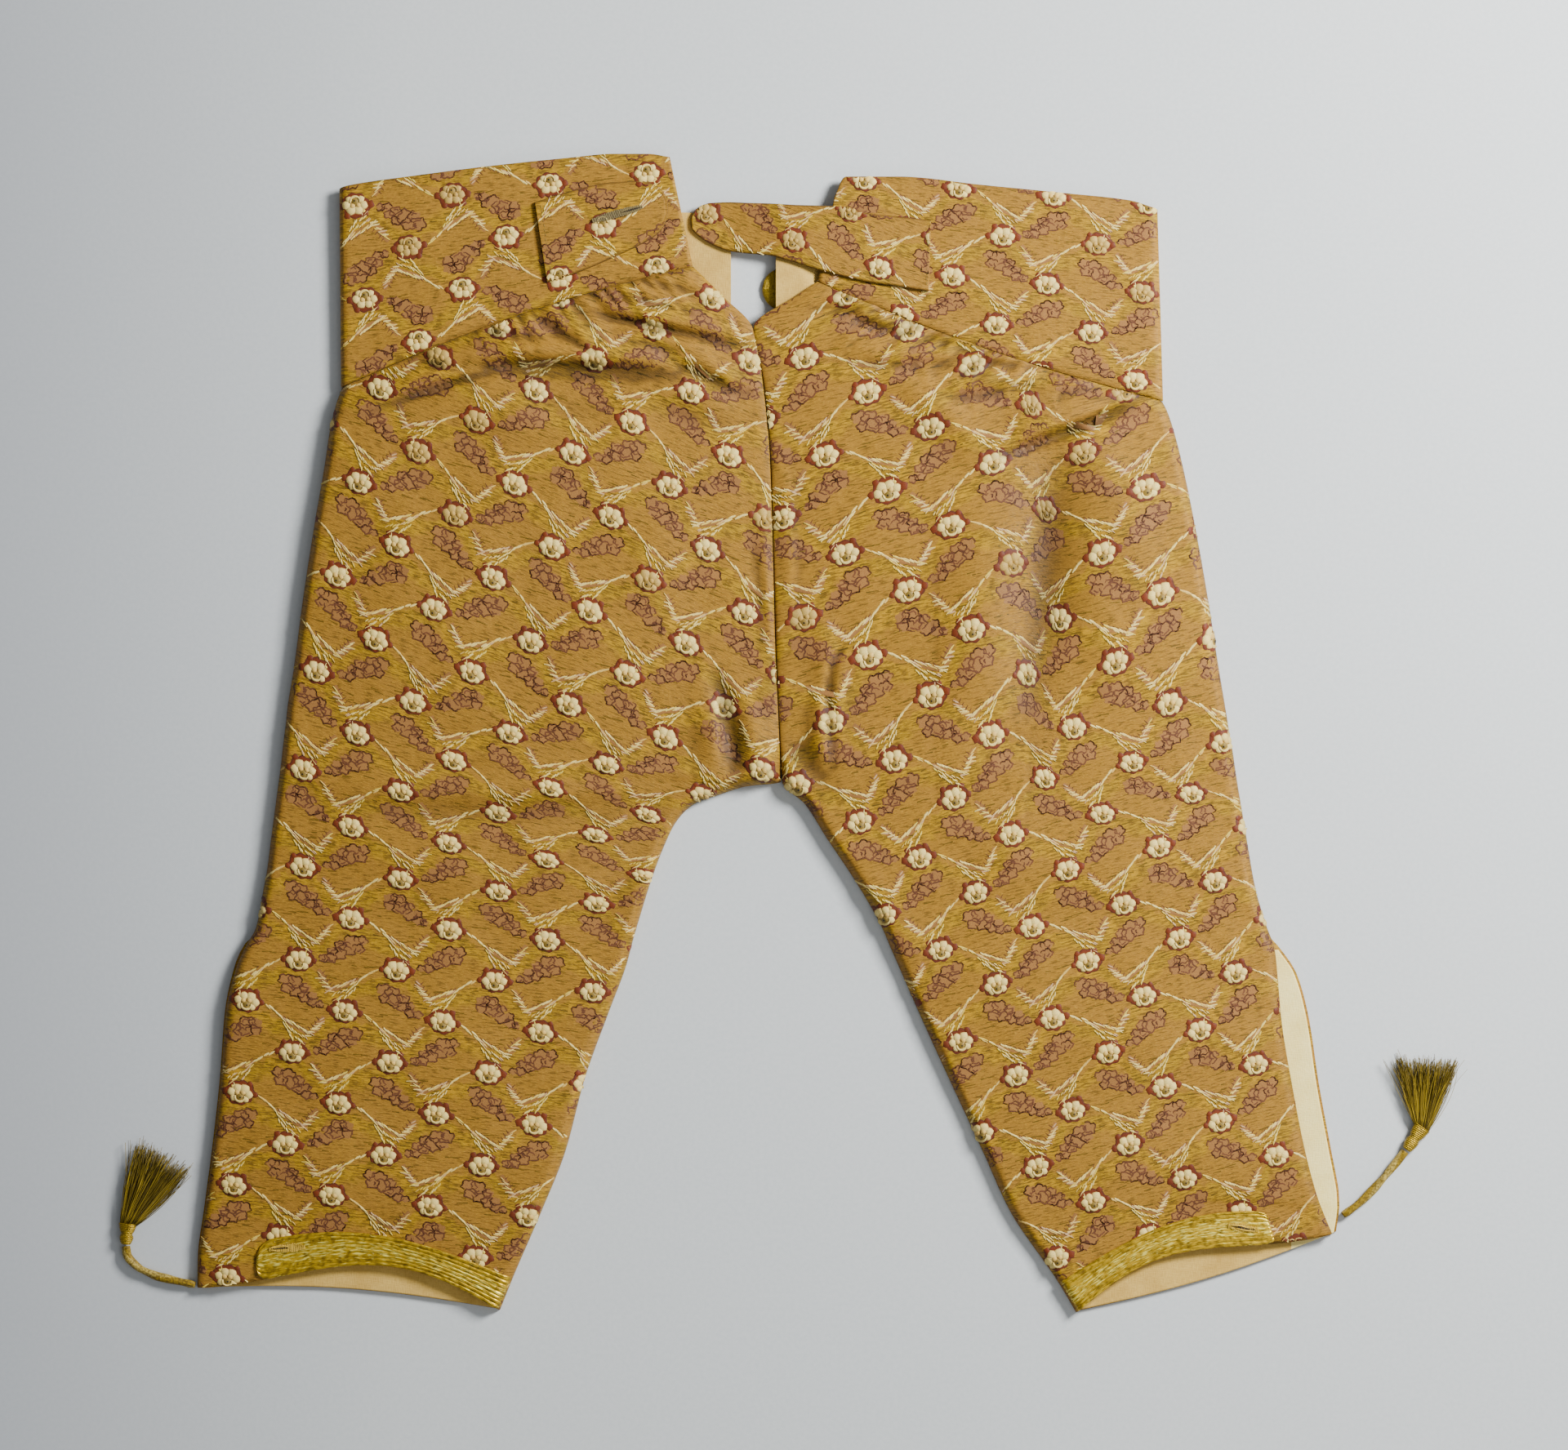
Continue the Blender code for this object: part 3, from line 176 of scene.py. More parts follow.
# Smaller creases, seen in the photograph: three pixels along each, its rise and its two widths
CREASES_PX = (
    ((690, 345), (752, 352), (838, 372), 1.6, 6.0, 2.4),
    ((742, 336), (800, 338), (862, 356), 1.3, 5.0, 2.0),
    ((560, 402), (612, 398), (668, 408), 1.5, 5.0, 2.2),
    ((596, 424), (650, 430), (700, 428), 1.3, 5.0, 2.0),
    ((760, 405), (820, 418), (872, 436), 1.6, 6.0, 2.4),
    ((800, 470), (850, 490), (905, 500), 1.4, 10.0, 5.0),
    ((470, 408), (515, 424), (566, 446), 1.2, 6.0, 3.0),
    ((430, 500), (470, 486), (520, 480), 1.2, 7.0, 3.0),
    ((520, 512), (600, 500), (690, 520), 1.0, 12.0, 8.0),
    ((668, 392), (700, 412), (735, 440), -1.8, 2.6, 2.6),
    ((720, 380), (800, 400), (895, 420), -1.8, 2.6, 2.6),
    ((600, 454), (700, 459), (825, 464), -2.6, 4.6, 4.6),
    ((842, 442), (868, 462), (895, 474), -1.4, 2.6, 2.6),
    ((488, 486), (530, 476), (568, 458), -1.5, 2.8, 2.8),
    ((640, 492), (705, 502), (770, 496), -1.2, 12.0, 12.0),
    ((440, 560), (480, 620), (500, 700), 0.9, 14.0, 14.0),
    ((620, 580), (650, 700), (640, 820), -1.1, 18.0, 18.0),
    ((760, 560), (800, 680), (800, 800), 0.9, 20.0, 16.0),
    ((430, 750), (520, 770), (640, 760), 0.8, 16.0, 16.0),
    ((1000, 370), (1060, 372), (1130, 384), 1.9, 6.0, 2.2),
    ((1042, 384), (1075, 399), (1120, 398), -1.6, 2.4, 2.4),
    ((1138, 404), (1180, 418), (1236, 424), 2.2, 5.0, 2.2),
    ((1180, 432), (1230, 438), (1296, 446), 2.2, 5.5, 2.2),
    ((1040, 430), (1110, 436), (1180, 430), 1.9, 7.0, 3.0),
    ((1150, 474), (1210, 470), (1270, 456), 2.2, 7.0, 3.0),
    ((1280, 474), (1330, 466), (1396, 452), 2.0, 6.0, 3.0),
    ((1236, 556), (1290, 536), (1388, 502), -2.2, 4.2, 4.2),
    ((1080, 452), (1150, 500), (1200, 560), 1.6, 10.0, 8.0),
    ((1330, 540), (1372, 620), (1392, 720), 1.2, 14.0, 14.0),
    ((1180, 640), (1190, 760), (1170, 880), 1.1, 16.0, 16.0),
    ((1300, 700), (1322, 800), (1318, 900), -1.2, 12.0, 12.0),
    ((876, 826), (890, 890), (902, 950), -3.2, 6.0, 5.0),
    ((905, 840), (918, 890), (928, 945), 1.8, 7.0, 7.0),
    ((1033, 795), (1016, 838), (1022, 940), -2.4, 2.6, 2.6),
    ((1006, 850), (1002, 890), (1008, 935), 1.4, 4.0, 4.0),
    ((968, 908), (990, 932), (1014, 962), -2.2, 7.0, 7.0),
    ((930, 640), (940, 720), (944, 800), 1.0, 5.0, 2.4),
    ((960, 560), (968, 660), (966, 780), 1.0, 2.6, 6.0),
    ((420, 1000), (520, 1060), (640, 1040), 1.0, 20.0, 12.0),
    ((330, 1260), (420, 1300), (560, 1290), 1.0, 22.0, 14.0),
    ((300, 1440), (400, 1400), (560, 1420), 0.8, 18.0, 18.0),
    ((1180, 1010), (1300, 1060), (1440, 1040), 1.0, 20.0, 12.0),
    ((1260, 1240), (1380, 1280), (1540, 1250), 1.0, 22.0, 14.0),
    ((1330, 1440), (1430, 1400), (1560, 1420), 0.8, 18.0, 18.0),
    ((860, 1000), (800, 1080), (760, 1160), 1.2, 10.0, 8.0),
    ((1010, 1010), (1080, 1100), (1130, 1190), 1.2, 10.0, 8.0),
)

# Small pleats that the waist seam gathers, each with its place along the seam, rise and length
GATHER_COUNT = 15
GATHER_FROM = 0.36
GATHER_RISE = 0.7
GATHER_LENGTH = 20.0

# The waistband halves, from the centre back round the side to the centre front
WAIST_COLUMNS = ("top_x", "top_y", "seam_x", "height")
WAIST_BACK_LEFT = (
    (-54.9, 317.5, -42.3, 6.6),
    (-67.0, 319.3, -61.2, 6.8),
    (-85.5, 319.3, -85.5, 7.0),
    (-111.2, 317.0, -113.4, 7.4),
    (-153.9, 312.5, -151.7, 7.8),
    (-198.9, 306.7, -196.7, 8.0),
    (-222.3, 303.5, -221.4, 8.0),
)
WAIST_FRONT_LEFT = (
    (-198.9, 295.9, -198.9, 0.0),
    (-153.9, 292.3, -153.9, 0.0),
    (-108.9, 289.6, -108.9, 0.0),
    (-63.9, 287.8, -63.9, 0.0),
    (-42.0, 287.0, -42.0, 0.0),
    (-21.2, 286.0, -21.2, 0.0),
)
WAIST_BACK_RIGHT = (
    (36.0, 295.9, 26.5, 7.6),
    (42.3, 306.7, 44.1, 7.6),
    (71.1, 306.7, 71.1, 7.6),
    (116.1, 302.2, 116.1, 7.8),
    (161.1, 297.7, 161.1, 8.0),
    (199.0, 293.5, 199.0, 8.0),
)
WAIST_FRONT_RIGHT = (
    (199.0, 286.0, 199.0, 0.0),
    (161.1, 286.0, 161.1, 0.0),
    (116.1, 286.0, 116.1, 0.0),
    (71.1, 286.0, 71.1, 0.0),
    (45.0, 286.0, 45.0, 0.0),
    (34.0, 286.0, 34.0, 0.0),
    (28.0, 286.0, 28.0, 0.0),
    (22.5, 286.0, 22.5, 0.0),
    (17.0, 286.0, 17.0, 0.0),
    (12.5, 286.0, 12.5, 0.0),
    (8.0, 286.0, 8.0, 0.0),
    (3.6, 286.0, 3.6, 0.0),
)
SIDE_FOLD_COLUMNS = ("top_x", "back_top_y", "front_top_y", "seam_x")
SIDE_FOLD_LEFT = (-233.2, 301.5, 298.0, -232.3)
SIDE_FOLD_RIGHT = (210.2, 290.0, 286.5, 213.3)
SIDE_FOLD_RADIUS = 4.0
SIDE_FOLD_ANGLES = (0.0, 45.0, 90.0, 135.0, 180.0)
FRONT_SEAM_LEFT = ((-234.0, 190.9), (-21.2, 225.2))
FRONT_SEAM_RIGHT = ((215.1, 183.1), (3.6, 225.2))
WAIST_ROWS = 9
WAIST_LINING_STATIONS_LEFT = 3
WAIST_LINING_STATIONS_RIGHT = 7

# Button on the outer side of the right front waistband
BUTTON_X = 7.7
BUTTON_Y = 245.0
BUTTON_PROFILE = ((0.0, 0.1), (6.5, 0.1), (10.3, 0.6), (11.7, 1.6), (10.6, 2.5), (7.0, 3.0), (3.0, 3.2), (0.0, 3.2))
BUTTON_LIFT = 3.5
BUTTON_LIFT_INNER = 13.0
BUTTON_LIFT_OUTER = 24.0

# Strap and tab, from the stitched end to the round tip
TAB_COLUMNS = ("upper_x", "upper_y", "lower_x", "lower_y", "base")
STRAP = (
    (89.1, 282.4, 87.8, 243.2, 8.15),
    (72.0, 284.2, 70.2, 246.0, 8.05),
    (55.4, 286.0, 53.1, 248.6, 8.0),
    (39.6, 290.0, 39.6, 251.8, 8.0),
    (26.1, 290.5, 26.1, 255.4, 8.0),
    (14.8, 290.9, 14.8, 259.0, 7.4),
    (8.1, 291.3, 8.1, 261.0, 7.0),
    (1.4, 291.8, 1.4, 263.0, 6.2),
    (-12.2, 292.3, -12.2, 264.4, 4.9),
    (-22.1, 292.7, -22.1, 265.7, 4.2),
    (-32.4, 292.3, -31.5, 269.3, 3.9),
    (-38.2, 290.5, -36.9, 272.5, 3.8),
    (-41.9, 286.9, -41.4, 276.1, 3.8),
    (-43.2, 283.7, -43.2, 279.2, 3.8),
)
TAB = (
    (-129.2, 292.3, -122.4, 248.2, 7.9),
    (-108.9, 298.6, -107.1, 253.1, 7.75),
    (-88.7, 303.1, -83.7, 263.0, 7.45),
    (-70.7, 304.0, -68.0, 270.7, 7.2),
    (-62.6, 301.7, -60.3, 276.1, 7.15),
    (-57.6, 296.8, -56.7, 282.4, 7.1),
    (-55.8, 291.4, -55.8, 287.8, 7.1),
)

# Tie cords, their tassels and the places where the cords leave the hems
CORD_DIAMETER = 4.8
CORD_HEIGHT = 2.6
CORD_LEFT = (
    (-316.9, -304.9),
    (-327.2, -302.6),
    (-340.7, -299.0),
    (-349.7, -294.1),
    (-354.4, -288.4),
    (-355.2, -283.6),
)
CORD_RIGHT = (
    (316.6, -266.4),
    (325.4, -259.9),
    (336.6, -248.6),
    (344.2, -239.6),
    (351.0, -231.1),
)
TASSEL_LEFT = ((-355.2, -282.4), (-354.0, -270.9), (-334.0, -234.0), 17.0)
TASSEL_RIGHT = ((351.7, -230.2), (360.4, -217.6), (362.5, -181.1), 18.0)
TASSEL_HEIGHT = 3.2

# Thread colours, as screen colours from 0 to 255
THREADS = {
    "cream": (240, 214, 126),
    "cream_deep": (222, 184, 96),
    "cream_pink": (208, 170, 122),
    "petal_edge": (146, 106, 52),
    "yellow": (228, 200, 84),
    "beige": (178, 142, 66),
    "hollow": (120, 98, 34),
    "red_brown": (112, 46, 10),
    "dark_brown": (78, 34, 22),
    "mauve": (150, 104, 52),
    "mauve_dark": (98, 58, 34),
    "olive": (96, 74, 0),
    "grey": (120, 106, 66),
    "slit": (40, 28, 18),
    "ochre": (186, 146, 56),
    "gold": (206, 170, 56),
}


def linear(colour):
    """A screen colour from 0 to 255 as a linear one."""
    share = np.asarray(colour, float) / 255.0
    return np.where(share <= 0.04045, share / 12.92, ((share + 0.055) / 1.055) ** 2.4)


def plan(px):
    """Plan point in millimetres of a pixel of the photograph."""
    return np.array([(px[0] - PLAN_ORIGIN_PX[0]) * MM_PER_PX, (PLAN_ORIGIN_PX[1] - px[1]) * MM_PER_PX])


def named(columns, rows):
    """A table as one array for each named column."""
    return {name: np.array([row[k] for row in rows], float) for k, name in enumerate(columns)}


def smooth(at, known, values):
    """Values at places between the known ones, on a smooth line through them with no overshoot."""
    values = np.asarray(values, float)
    step = np.diff(known)
    slope = np.diff(values, axis=0) / step.reshape((-1,) + (1,) * (values.ndim - 1))
    product = slope[1:] * slope[:-1]
    total = slope[1:] + slope[:-1]
    same = product > 0
    middle = np.where(same, 2 * product / np.where(same, total, 1.0), 0.0)
    tangent = np.concatenate([slope[:1], middle, slope[-1:]])
    i = np.clip(np.searchsorted(known, at, side="right") - 1, 0, len(step) - 1)
    shape = (-1,) + (1,) * (values.ndim - 1)
    t = ((at - known[i]) / step[i]).reshape(shape)
    h = step[i].reshape(shape)
    a = values[i] * (1 + 2 * t) * (1 - t) ** 2 + values[i + 1] * t * t * (3 - 2 * t)
    return a + h * (tangent[i] * t * (1 - t) ** 2 - tangent[i + 1] * t * t * (1 - t))


def sections(rows, count):
    """The sections of a back panel at even steps down it, and where the table's own rows lie."""
    table = np.array([row[: len(SECTION_COLUMNS)] for row in rows], float)
    outer_run = np.linalg.norm(np.diff(table[:, 0:2], axis=0), axis=1)
    inner_run = np.linalg.norm(np.diff(table[:, 2:4], axis=0), axis=1)
    known = np.concatenate([[0], np.cumsum((outer_run + inner_run) / 2)])
    at = np.linspace(0, known[-1], count)
    values = smooth(at, known, table)
    return {name: values[:, k] for k, name in enumerate(SECTION_COLUMNS)}, known / known[-1]


def edge_distance(points, edge, feet):
    """Distance of each grid point to an edge and the edge's height there, near the point's row."""
    rows = np.arange(len(edge))
    best = np.full(points.shape[:2], 1e9)
    foot = np.zeros(points.shape[:2])
    for k in range(-EDGE_WINDOW, EDGE_WINDOW):
        a = np.clip(rows + k, 0, len(edge) - 2)
        start = edge[a]
        run = edge[a + 1] - start
        share = ((points - start[:, None]) * run[:, None]).sum(axis=2) / (run * run).sum(axis=1)[:, None]
        share = np.clip(share, 0, 1)
        away = np.linalg.norm(points - start[:, None] - run[:, None] * share[..., None], axis=2)
        nearer = away < best
        height = feet[a][:, None] + (feet[a + 1] - feet[a])[:, None] * share
        best = np.where(nearer, away, best)
        foot = np.where(nearer, height, foot)
    return best, foot


def to_line(points, line, values):
    """Distance of points to a line of points, and the value along the line at the nearest place."""
    start = line[:-1]
    run = line[1:] - start
    share = ((points[:, None] - start) * run).sum(axis=2) / (run * run).sum(axis=1)
    share = np.clip(share, 0, 1)
    away = np.linalg.norm(start + run * share[..., None] - points[:, None], axis=2)
    nearest = away.argmin(axis=1)
    row = np.arange(len(points))
    value = values[nearest] + (values[nearest + 1] - values[nearest]) * share[row, nearest]
    return away[row, nearest], value


def fold_height(points, folds):
    """Height that folds and creases add at plan points."""
    flat = points.reshape(-1, 2)
    total = np.zeros(len(flat))
    t = np.linspace(0, 1, FOLD_STEPS + 1)
    for x0, y0, x1, y1, x2, y2, rise, left, right in folds:
        start, middle, end = np.array([x0, y0]), np.array([x1, y1]), np.array([x2, y2])
        pull = 2 * middle - (start + end) / 2
        run = np.array([(1 - s) ** 2 * start + 2 * s * (1 - s) * pull + s * s * end for s in t])
        margin = 3 * max(left, right)
        near = np.all((flat > run.min(axis=0) - margin) & (flat < run.max(axis=0) + margin), axis=1)
        part = flat[near]
        if not len(part):
            continue
        away, along = to_line(part, run, t)
        place = start + (end - start) * along[:, None]
        bend = (pull - (start + end) / 2)[None] * (2 * along * (1 - along))[:, None]
        offset = part - place - bend
        direction = end - start
        side = direction[0] * offset[:, 1] - direction[1] * offset[:, 0]
        ratio = away / np.where(side > 0, left, right)
        shape = np.exp(-(ratio ** 2))
        if right < left:
            shape = shape - np.where(side > 0, 0.0, FOLD_LIP * np.exp(-(((ratio - 2.2) / 1.2) ** 2)))
        total[near] += rise * shape * np.sin(math.pi * np.clip(along, 0.03, 0.97)) ** 0.6
    return total.reshape(points.shape[:-1])


def creases():
    """The smaller creases as rows like those of the folds."""
    return [(*plan(a), *plan(b), *plan(c), rise, left, right) for a, b, c, rise, left, right in CREASES_PX]


def rolled(distance, roll):
    """Share of the full height at a distance from an edge that rolls down to its foot."""
    return np.sqrt(1 - (1 - np.clip(distance / roll, 0, 1)) ** 2)


def ripple(points):
    """Slight unevenness of cloth that lies loose."""
    x, y = points[..., 0], points[..., 1]
    wave = np.sin(x / 17.0 + 1.3 * np.sin(y / 41.0)) * np.sin(y / 29.0 + 0.9 * np.sin(x / 23.0))
    small = np.sin(x / 7.3 + y / 19.0) * np.sin(y / 11.0 - x / 31.0)
    return 0.35 * wave + 0.12 * small


def grid_normals(grid):
    """Upward normals of a surface grid."""
    normal = np.cross(np.gradient(grid, axis=1), np.gradient(grid, axis=0))
    length = np.linalg.norm(normal, axis=2)[..., None]
    normal = normal / np.where(length > 0, length, 1)
    middle = normal[grid.shape[0] // 2, grid.shape[1] // 2, 2]
    return normal if middle > 0 else -normal


def back_places(width):
    """Shares of each section's width: close together over the rolls, even between them."""
    start = ROLL * (1 - np.cos(np.linspace(0, math.pi / 2, ROLL_COLUMNS)))
    inside = np.linspace(0, 1, BACK_COLUMNS - 2 * ROLL_COLUMNS + 2)[1:-1]
    between = ROLL + (width - 2 * ROLL) * inside
    from_side = np.broadcast_to(start, (len(width), len(start)))
    return np.concatenate([from_side, between, width - from_side[:, ::-1]], axis=1) / width


def cavities(height):
    """How far each grid point lies below the cloth around it."""
    around = height
    for axis in (0, 1):
        for _ in range(3):
            around = (np.roll(around, 1, axis) + around + np.roll(around, -1, axis)) / 3
    return np.clip(around - height, 0, None)


# Soft shade where the cloth sinks: three pixels along each, its share and its width
SHADES_PX = (
    ((1290, 520), (1282, 660), (1262, 840), 0.3, 26.0),
    ((610, 456), (710, 462), (824, 466), 0.28, 5.0),
    ((884, 836), (894, 890), (904, 950), 0.35, 7.0),
    ((972, 915), (990, 935), (1012, 962), 0.3, 8.0),
    ((1032, 800), (1016, 840), (1022, 940), 0.3, 2.2),
    ((1236, 554), (1290, 534), (1388, 500), 0.3, 4.0),
    ((1042, 388), (1078, 402), (1124, 402), 0.3, 2.5),
    ((668, 395), (700, 414), (732, 436), 0.25, 2.4),
    ((720, 384), (800, 404), (895, 422), 0.3, 2.4),
    ((490, 490), (530, 480), (570, 462), 0.3, 3.0),
    ((846, 444), (870, 464), (895, 476), 0.3, 2.6),
    ((1049, 381), (1089, 396), (1126, 394), 0.4, 2.0),
    ((1139, 411), (1172, 411), (1204, 407), 0.4, 2.0),
    ((1192, 424), (1225, 444), (1247, 457), 0.36, 2.2),
    ((1150, 444), (1200, 462), (1262, 470), 0.26, 3.4),
    ((1333, 490), (1352, 488), (1374, 487), 0.4, 2.2),
    ((1330, 540), (1372, 640), (1388, 740), 0.16, 9.0),
)


def shade_of(points):
    """Share of soft shade at plan points."""
    flat = points.reshape(-1, 2)
    total = np.zeros(len(flat))
    for a, b, c, share, width in SHADES_PX:
        line = np.array([plan(a), plan(b), plan(c)])
        away, along = to_line(flat, line, np.array([0.0, 0.5, 1.0]))
        ends = np.sin(math.pi * np.clip(along, 0.06, 0.94)) ** 0.5
        total = np.maximum(total, share * ends * np.exp(-((away / width) ** 2)))
    return total.reshape(points.shape[:-1])


# Painted shade in creases, along seams and at the rolled sides: its share for each millimetre of a cavity, its most,
# its share and width along a seam, then its share at the outer and centre sides and their width
PAINTED_SHADE_IN_CAVITY = 1.5
PAINTED_SHADE_MOST = 0.7
PAINTED_SHADE_AT_SEAM = 0.25
PAINTED_SHADE_SEAM_WIDTH = 1.8
PAINTED_SHADE_AT_SIDE = 0.4
PAINTED_SHADE_AT_CENTRE = 0.12
PAINTED_SHADE_SIDE_WIDTH = 2.6


def back_grid(rows, shift, folds):
    """Grid of the outer face of a back panel, the shares down it of the table's rows, and its painted shade."""
    table, known = sections(rows, BACK_ROWS)
    outer = np.stack([table["outer_x"], table["outer_y"]], axis=1)
    inner = np.stack([table["inner_x"] + shift, table["inner_y"]], axis=1)
    places = back_places(np.linalg.norm(inner - outer, axis=1)[:, None])
    points = outer[:, None] + (inner - outer)[:, None] * places[..., None]
    bow = np.sin(math.pi * places ** table["skew"][:, None])
    points[..., 1] += table["bow"][:, None] * bow
    top = table["height"][:, None] + table["crown"][:, None] * np.sin(math.pi * places)
    depth, _ = to_line(points.reshape(-1, 2), points[0, ::6], np.zeros(len(points[0, ::6])))
    depth = depth.reshape(places.shape)
    share = np.clip((places - GATHER_FROM) / (1 - GATHER_FROM), 0, 1)
    uneven = share + 0.02 * np.sin(9.0 * share) + 0.012 * np.sin(31.0 * share)
    pleat = np.sin(2 * math.pi * GATHER_COUNT * uneven)
    lasting = GATHER_LENGTH * (1 + 0.45 * np.sin(5.3 * share * GATHER_COUNT / 2))
    gathers = GATHER_RISE * pleat * np.sin(math.pi * share) ** 0.5 * np.exp(-((depth / lasting) ** 2))
    raised = fold_height(points, folds) + gathers
    # Painted shade: darker in cavities and in the soft shades, along the waist seam and at the rolled sides
    painted_shade = np.clip(cavities(raised) * PAINTED_SHADE_IN_CAVITY, 0, PAINTED_SHADE_MOST) + shade_of(points)
    painted_shade += PAINTED_SHADE_AT_SEAM * np.exp(-((depth / PAINTED_SHADE_SEAM_WIDTH) ** 2))
    top = top + raised + ripple(points)
    for edge, feet in ((outer, table["outer_foot"]), (inner, table["inner_foot"])):
        away, foot = edge_distance(points, edge, feet)
        top = foot + (top - foot) * rolled(away, ROLL)
        most = PAINTED_SHADE_AT_SIDE if edge is outer else PAINTED_SHADE_AT_CENTRE
        painted_shade += most * np.exp(-((away / PAINTED_SHADE_SIDE_WIDTH) ** 2))
    return np.concatenate([points, top[..., None]], axis=2), known, np.clip(painted_shade, 0, PAINTED_SHADE_MOST)


def refined_grid(grid, rows, columns):
    """A coarse grid with smooth lines through its points, and more of them each way."""
    for axis, shares in ((0, rows), (1, columns)):
        run = np.linalg.norm(np.diff(grid, axis=axis), axis=2).mean(axis=1 - axis)
        known = np.concatenate([[0], np.cumsum(run)])
        shares = np.asarray(shares) * known[-1]
        if axis == 0:
            grid = smooth(shares, known, grid)
        else:
            grid = smooth(shares, known, grid.transpose(1, 0, 2)).transpose(1, 0, 2)
    return grid


def edged(count, near=(0.004, 0.012)):
    """Shares from 0 to 1, with extra ones close to both ends."""
    middle = np.linspace(0, 1, count)
    near = np.array(near)
    return np.unique(np.concatenate([middle, near, 1 - near]))


def grid_triangles(rows, columns):
    """Quads of a grid of points, as corner numbers."""
    i, j = np.meshgrid(np.arange(rows - 1), np.arange(columns - 1), indexing="ij")
    a = (i * columns + j).ravel()
    return np.stack([a, a + 1, a + columns + 1, a + columns], axis=1)


def add_mesh(name, points, faces, material, uv=None, colours=None, closed=True, smooth_shade=True):
    """A mesh object from points in millimetres. Closed ones get their faces turned outwards."""
    mesh = bpy.data.meshes.new(name)
    vertices = (np.asarray(points, float) + MOVE) * MM
    mesh.from_pydata(vertices.tolist(), [], [tuple(int(k) for k in face) for face in faces])
    if closed:
        shape = bmesh.new()
        shape.from_mesh(mesh)
        bmesh.ops.recalc_face_normals(shape, faces=shape.faces)
        shape.to_mesh(mesh)
        shape.free()
    corner = np.empty(len(mesh.loops), int)
    mesh.loops.foreach_get("vertex_index", corner)
    if uv is not None:
        layer = mesh.uv_layers.new(name="cloth")
        layer.data.foreach_set("uv", np.asarray(uv, float)[corner].ravel())
    if colours is not None:
        layer = mesh.color_attributes.new(name="thread", type="FLOAT_COLOR", domain="POINT")
        full = np.concatenate([np.asarray(colours, float), np.ones((len(points), 1))], axis=1)
        layer.data.foreach_set("color", full.ravel())
    mesh.polygons.foreach_set("use_smooth", [smooth_shade] * len(mesh.polygons))
    mesh.materials.append(material)
    made = bpy.data.objects.new(name, mesh)
    bpy.context.scene.collection.objects.link(made)
    return made


def add_shell(name, face, back, material, uv, painted_shade=None):
    """A closed piece of cloth from the grids of its two faces, with a share of painted shade at each point where one
    is given.
    """
    rows, columns = face.shape[:2]
    count = rows * columns
    quads = grid_triangles(rows, columns)
    rim = [j for j in range(columns)]
    rim += [i * columns + columns - 1 for i in range(1, rows)]
    rim += [(rows - 1) * columns + j for j in range(columns - 2, -1, -1)]
    rim += [i * columns for i in range(rows - 2, 0, -1)]
    rim = np.array(rim)
    following = np.roll(rim, -1)
    side = np.stack([following, rim, count + rim, count + following], axis=1)
    faces = np.concatenate([quads, count + quads[:, ::-1], side])
    points = np.concatenate([face.reshape(-1, 3), back.reshape(-1, 3)])
    both = np.concatenate([uv.reshape(-1, 2), uv.reshape(-1, 2)])
    made = add_mesh(name, points, faces, material, uv=both)
    # The painted shade goes onto the mesh as a point attribute
    if painted_shade is not None:
        layer = made.data.attributes.new(name="painted_shade", type="FLOAT", domain="POINT")
        layer.data.foreach_set("value", np.concatenate([painted_shade.ravel(), painted_shade.ravel()]))
    return made


# Where the pattern of the brocade lies
# Each lattice has its first flower, the step to the next across and the step to the next down, all
# read off the photograph in pixels. A panel has one lattice at the seat and one on the leg, and
# turns from one to the other between two rows of flowers.
SEAT_LEFT_PX = ((630, 595), (118, 40), (-26, 115))
LEG_LEFT_PX = ((550, 1140), (120, 13), (-8, 113))
LEG_LEFT_ROW = (0.0, 5.0)
TURN_LEFT = (2.0, 5.0)
SEAT_RIGHT_PX = ((985, 440), (129, -34), (25, 120))
LEG_RIGHT_PX = ((1195, 1095), (112, -28), (25, 112))
LEG_RIGHT_ROW = (0.5, 5.5)
TURN_RIGHT = (2.0, 5.5)
# The valley fold of the right seat takes up cloth: how far the pattern beyond it is moved
VALLEY_FROM_MM = 130.0
VALLEY_TO_MM = 176.0
VALLEY_MOVE_MM = (-8.6, -9.9)
WAIST_LEFT_PX = ((435, 250), (-119, 13), (-12, -115))
WAIST_RIGHT_PX = ((1058, 222), (116, 10), (-8, 108))
STRAP_PX = ((865, 262), (106, 34), (-34, 106))
FRONT_LATTICE_PX = ((702, 900), (-120, 0), (0, 113))

REPEAT_ACROSS = 54.0
REPEAT_DOWN = 51.0
# The line of a spray, in repeats: where it is lowest, where its arm ends, its depth, and the width
# of the ochre band below it
SPRAY_LOW_AT = 0.7
SPRAY_END_AT = 0.9
SPRAY_DEPTH = 0.27
BAND_SHARE = 0.17


def affine(lattice, s, t, first=(0.0, 0.0)):
    """Plan points of pattern coordinates in one lattice."""
    start = plan(lattice[0])
    across = np.array([lattice[1][0], -lattice[1][1]]) * MM_PER_PX
    down = np.array([lattice[2][0], -lattice[2][1]]) * MM_PER_PX
    return start + (s - first[0])[..., None] * across + (t - first[1])[..., None] * down


def eased(value, low, high):
    """Smooth step from 0 at low to 1 at high."""
    share = np.clip((value - low) / (high - low), 0, 1)
    return share * share * (3 - 2 * share)


def place_left(s, t):
    """Plan points of the left back's pattern coordinates."""
    turn = eased(t, *TURN_LEFT)[..., None]
    return affine(SEAT_LEFT_PX, s, t) * (1 - turn) + affine(LEG_LEFT_PX, s, t, LEG_LEFT_ROW) * turn


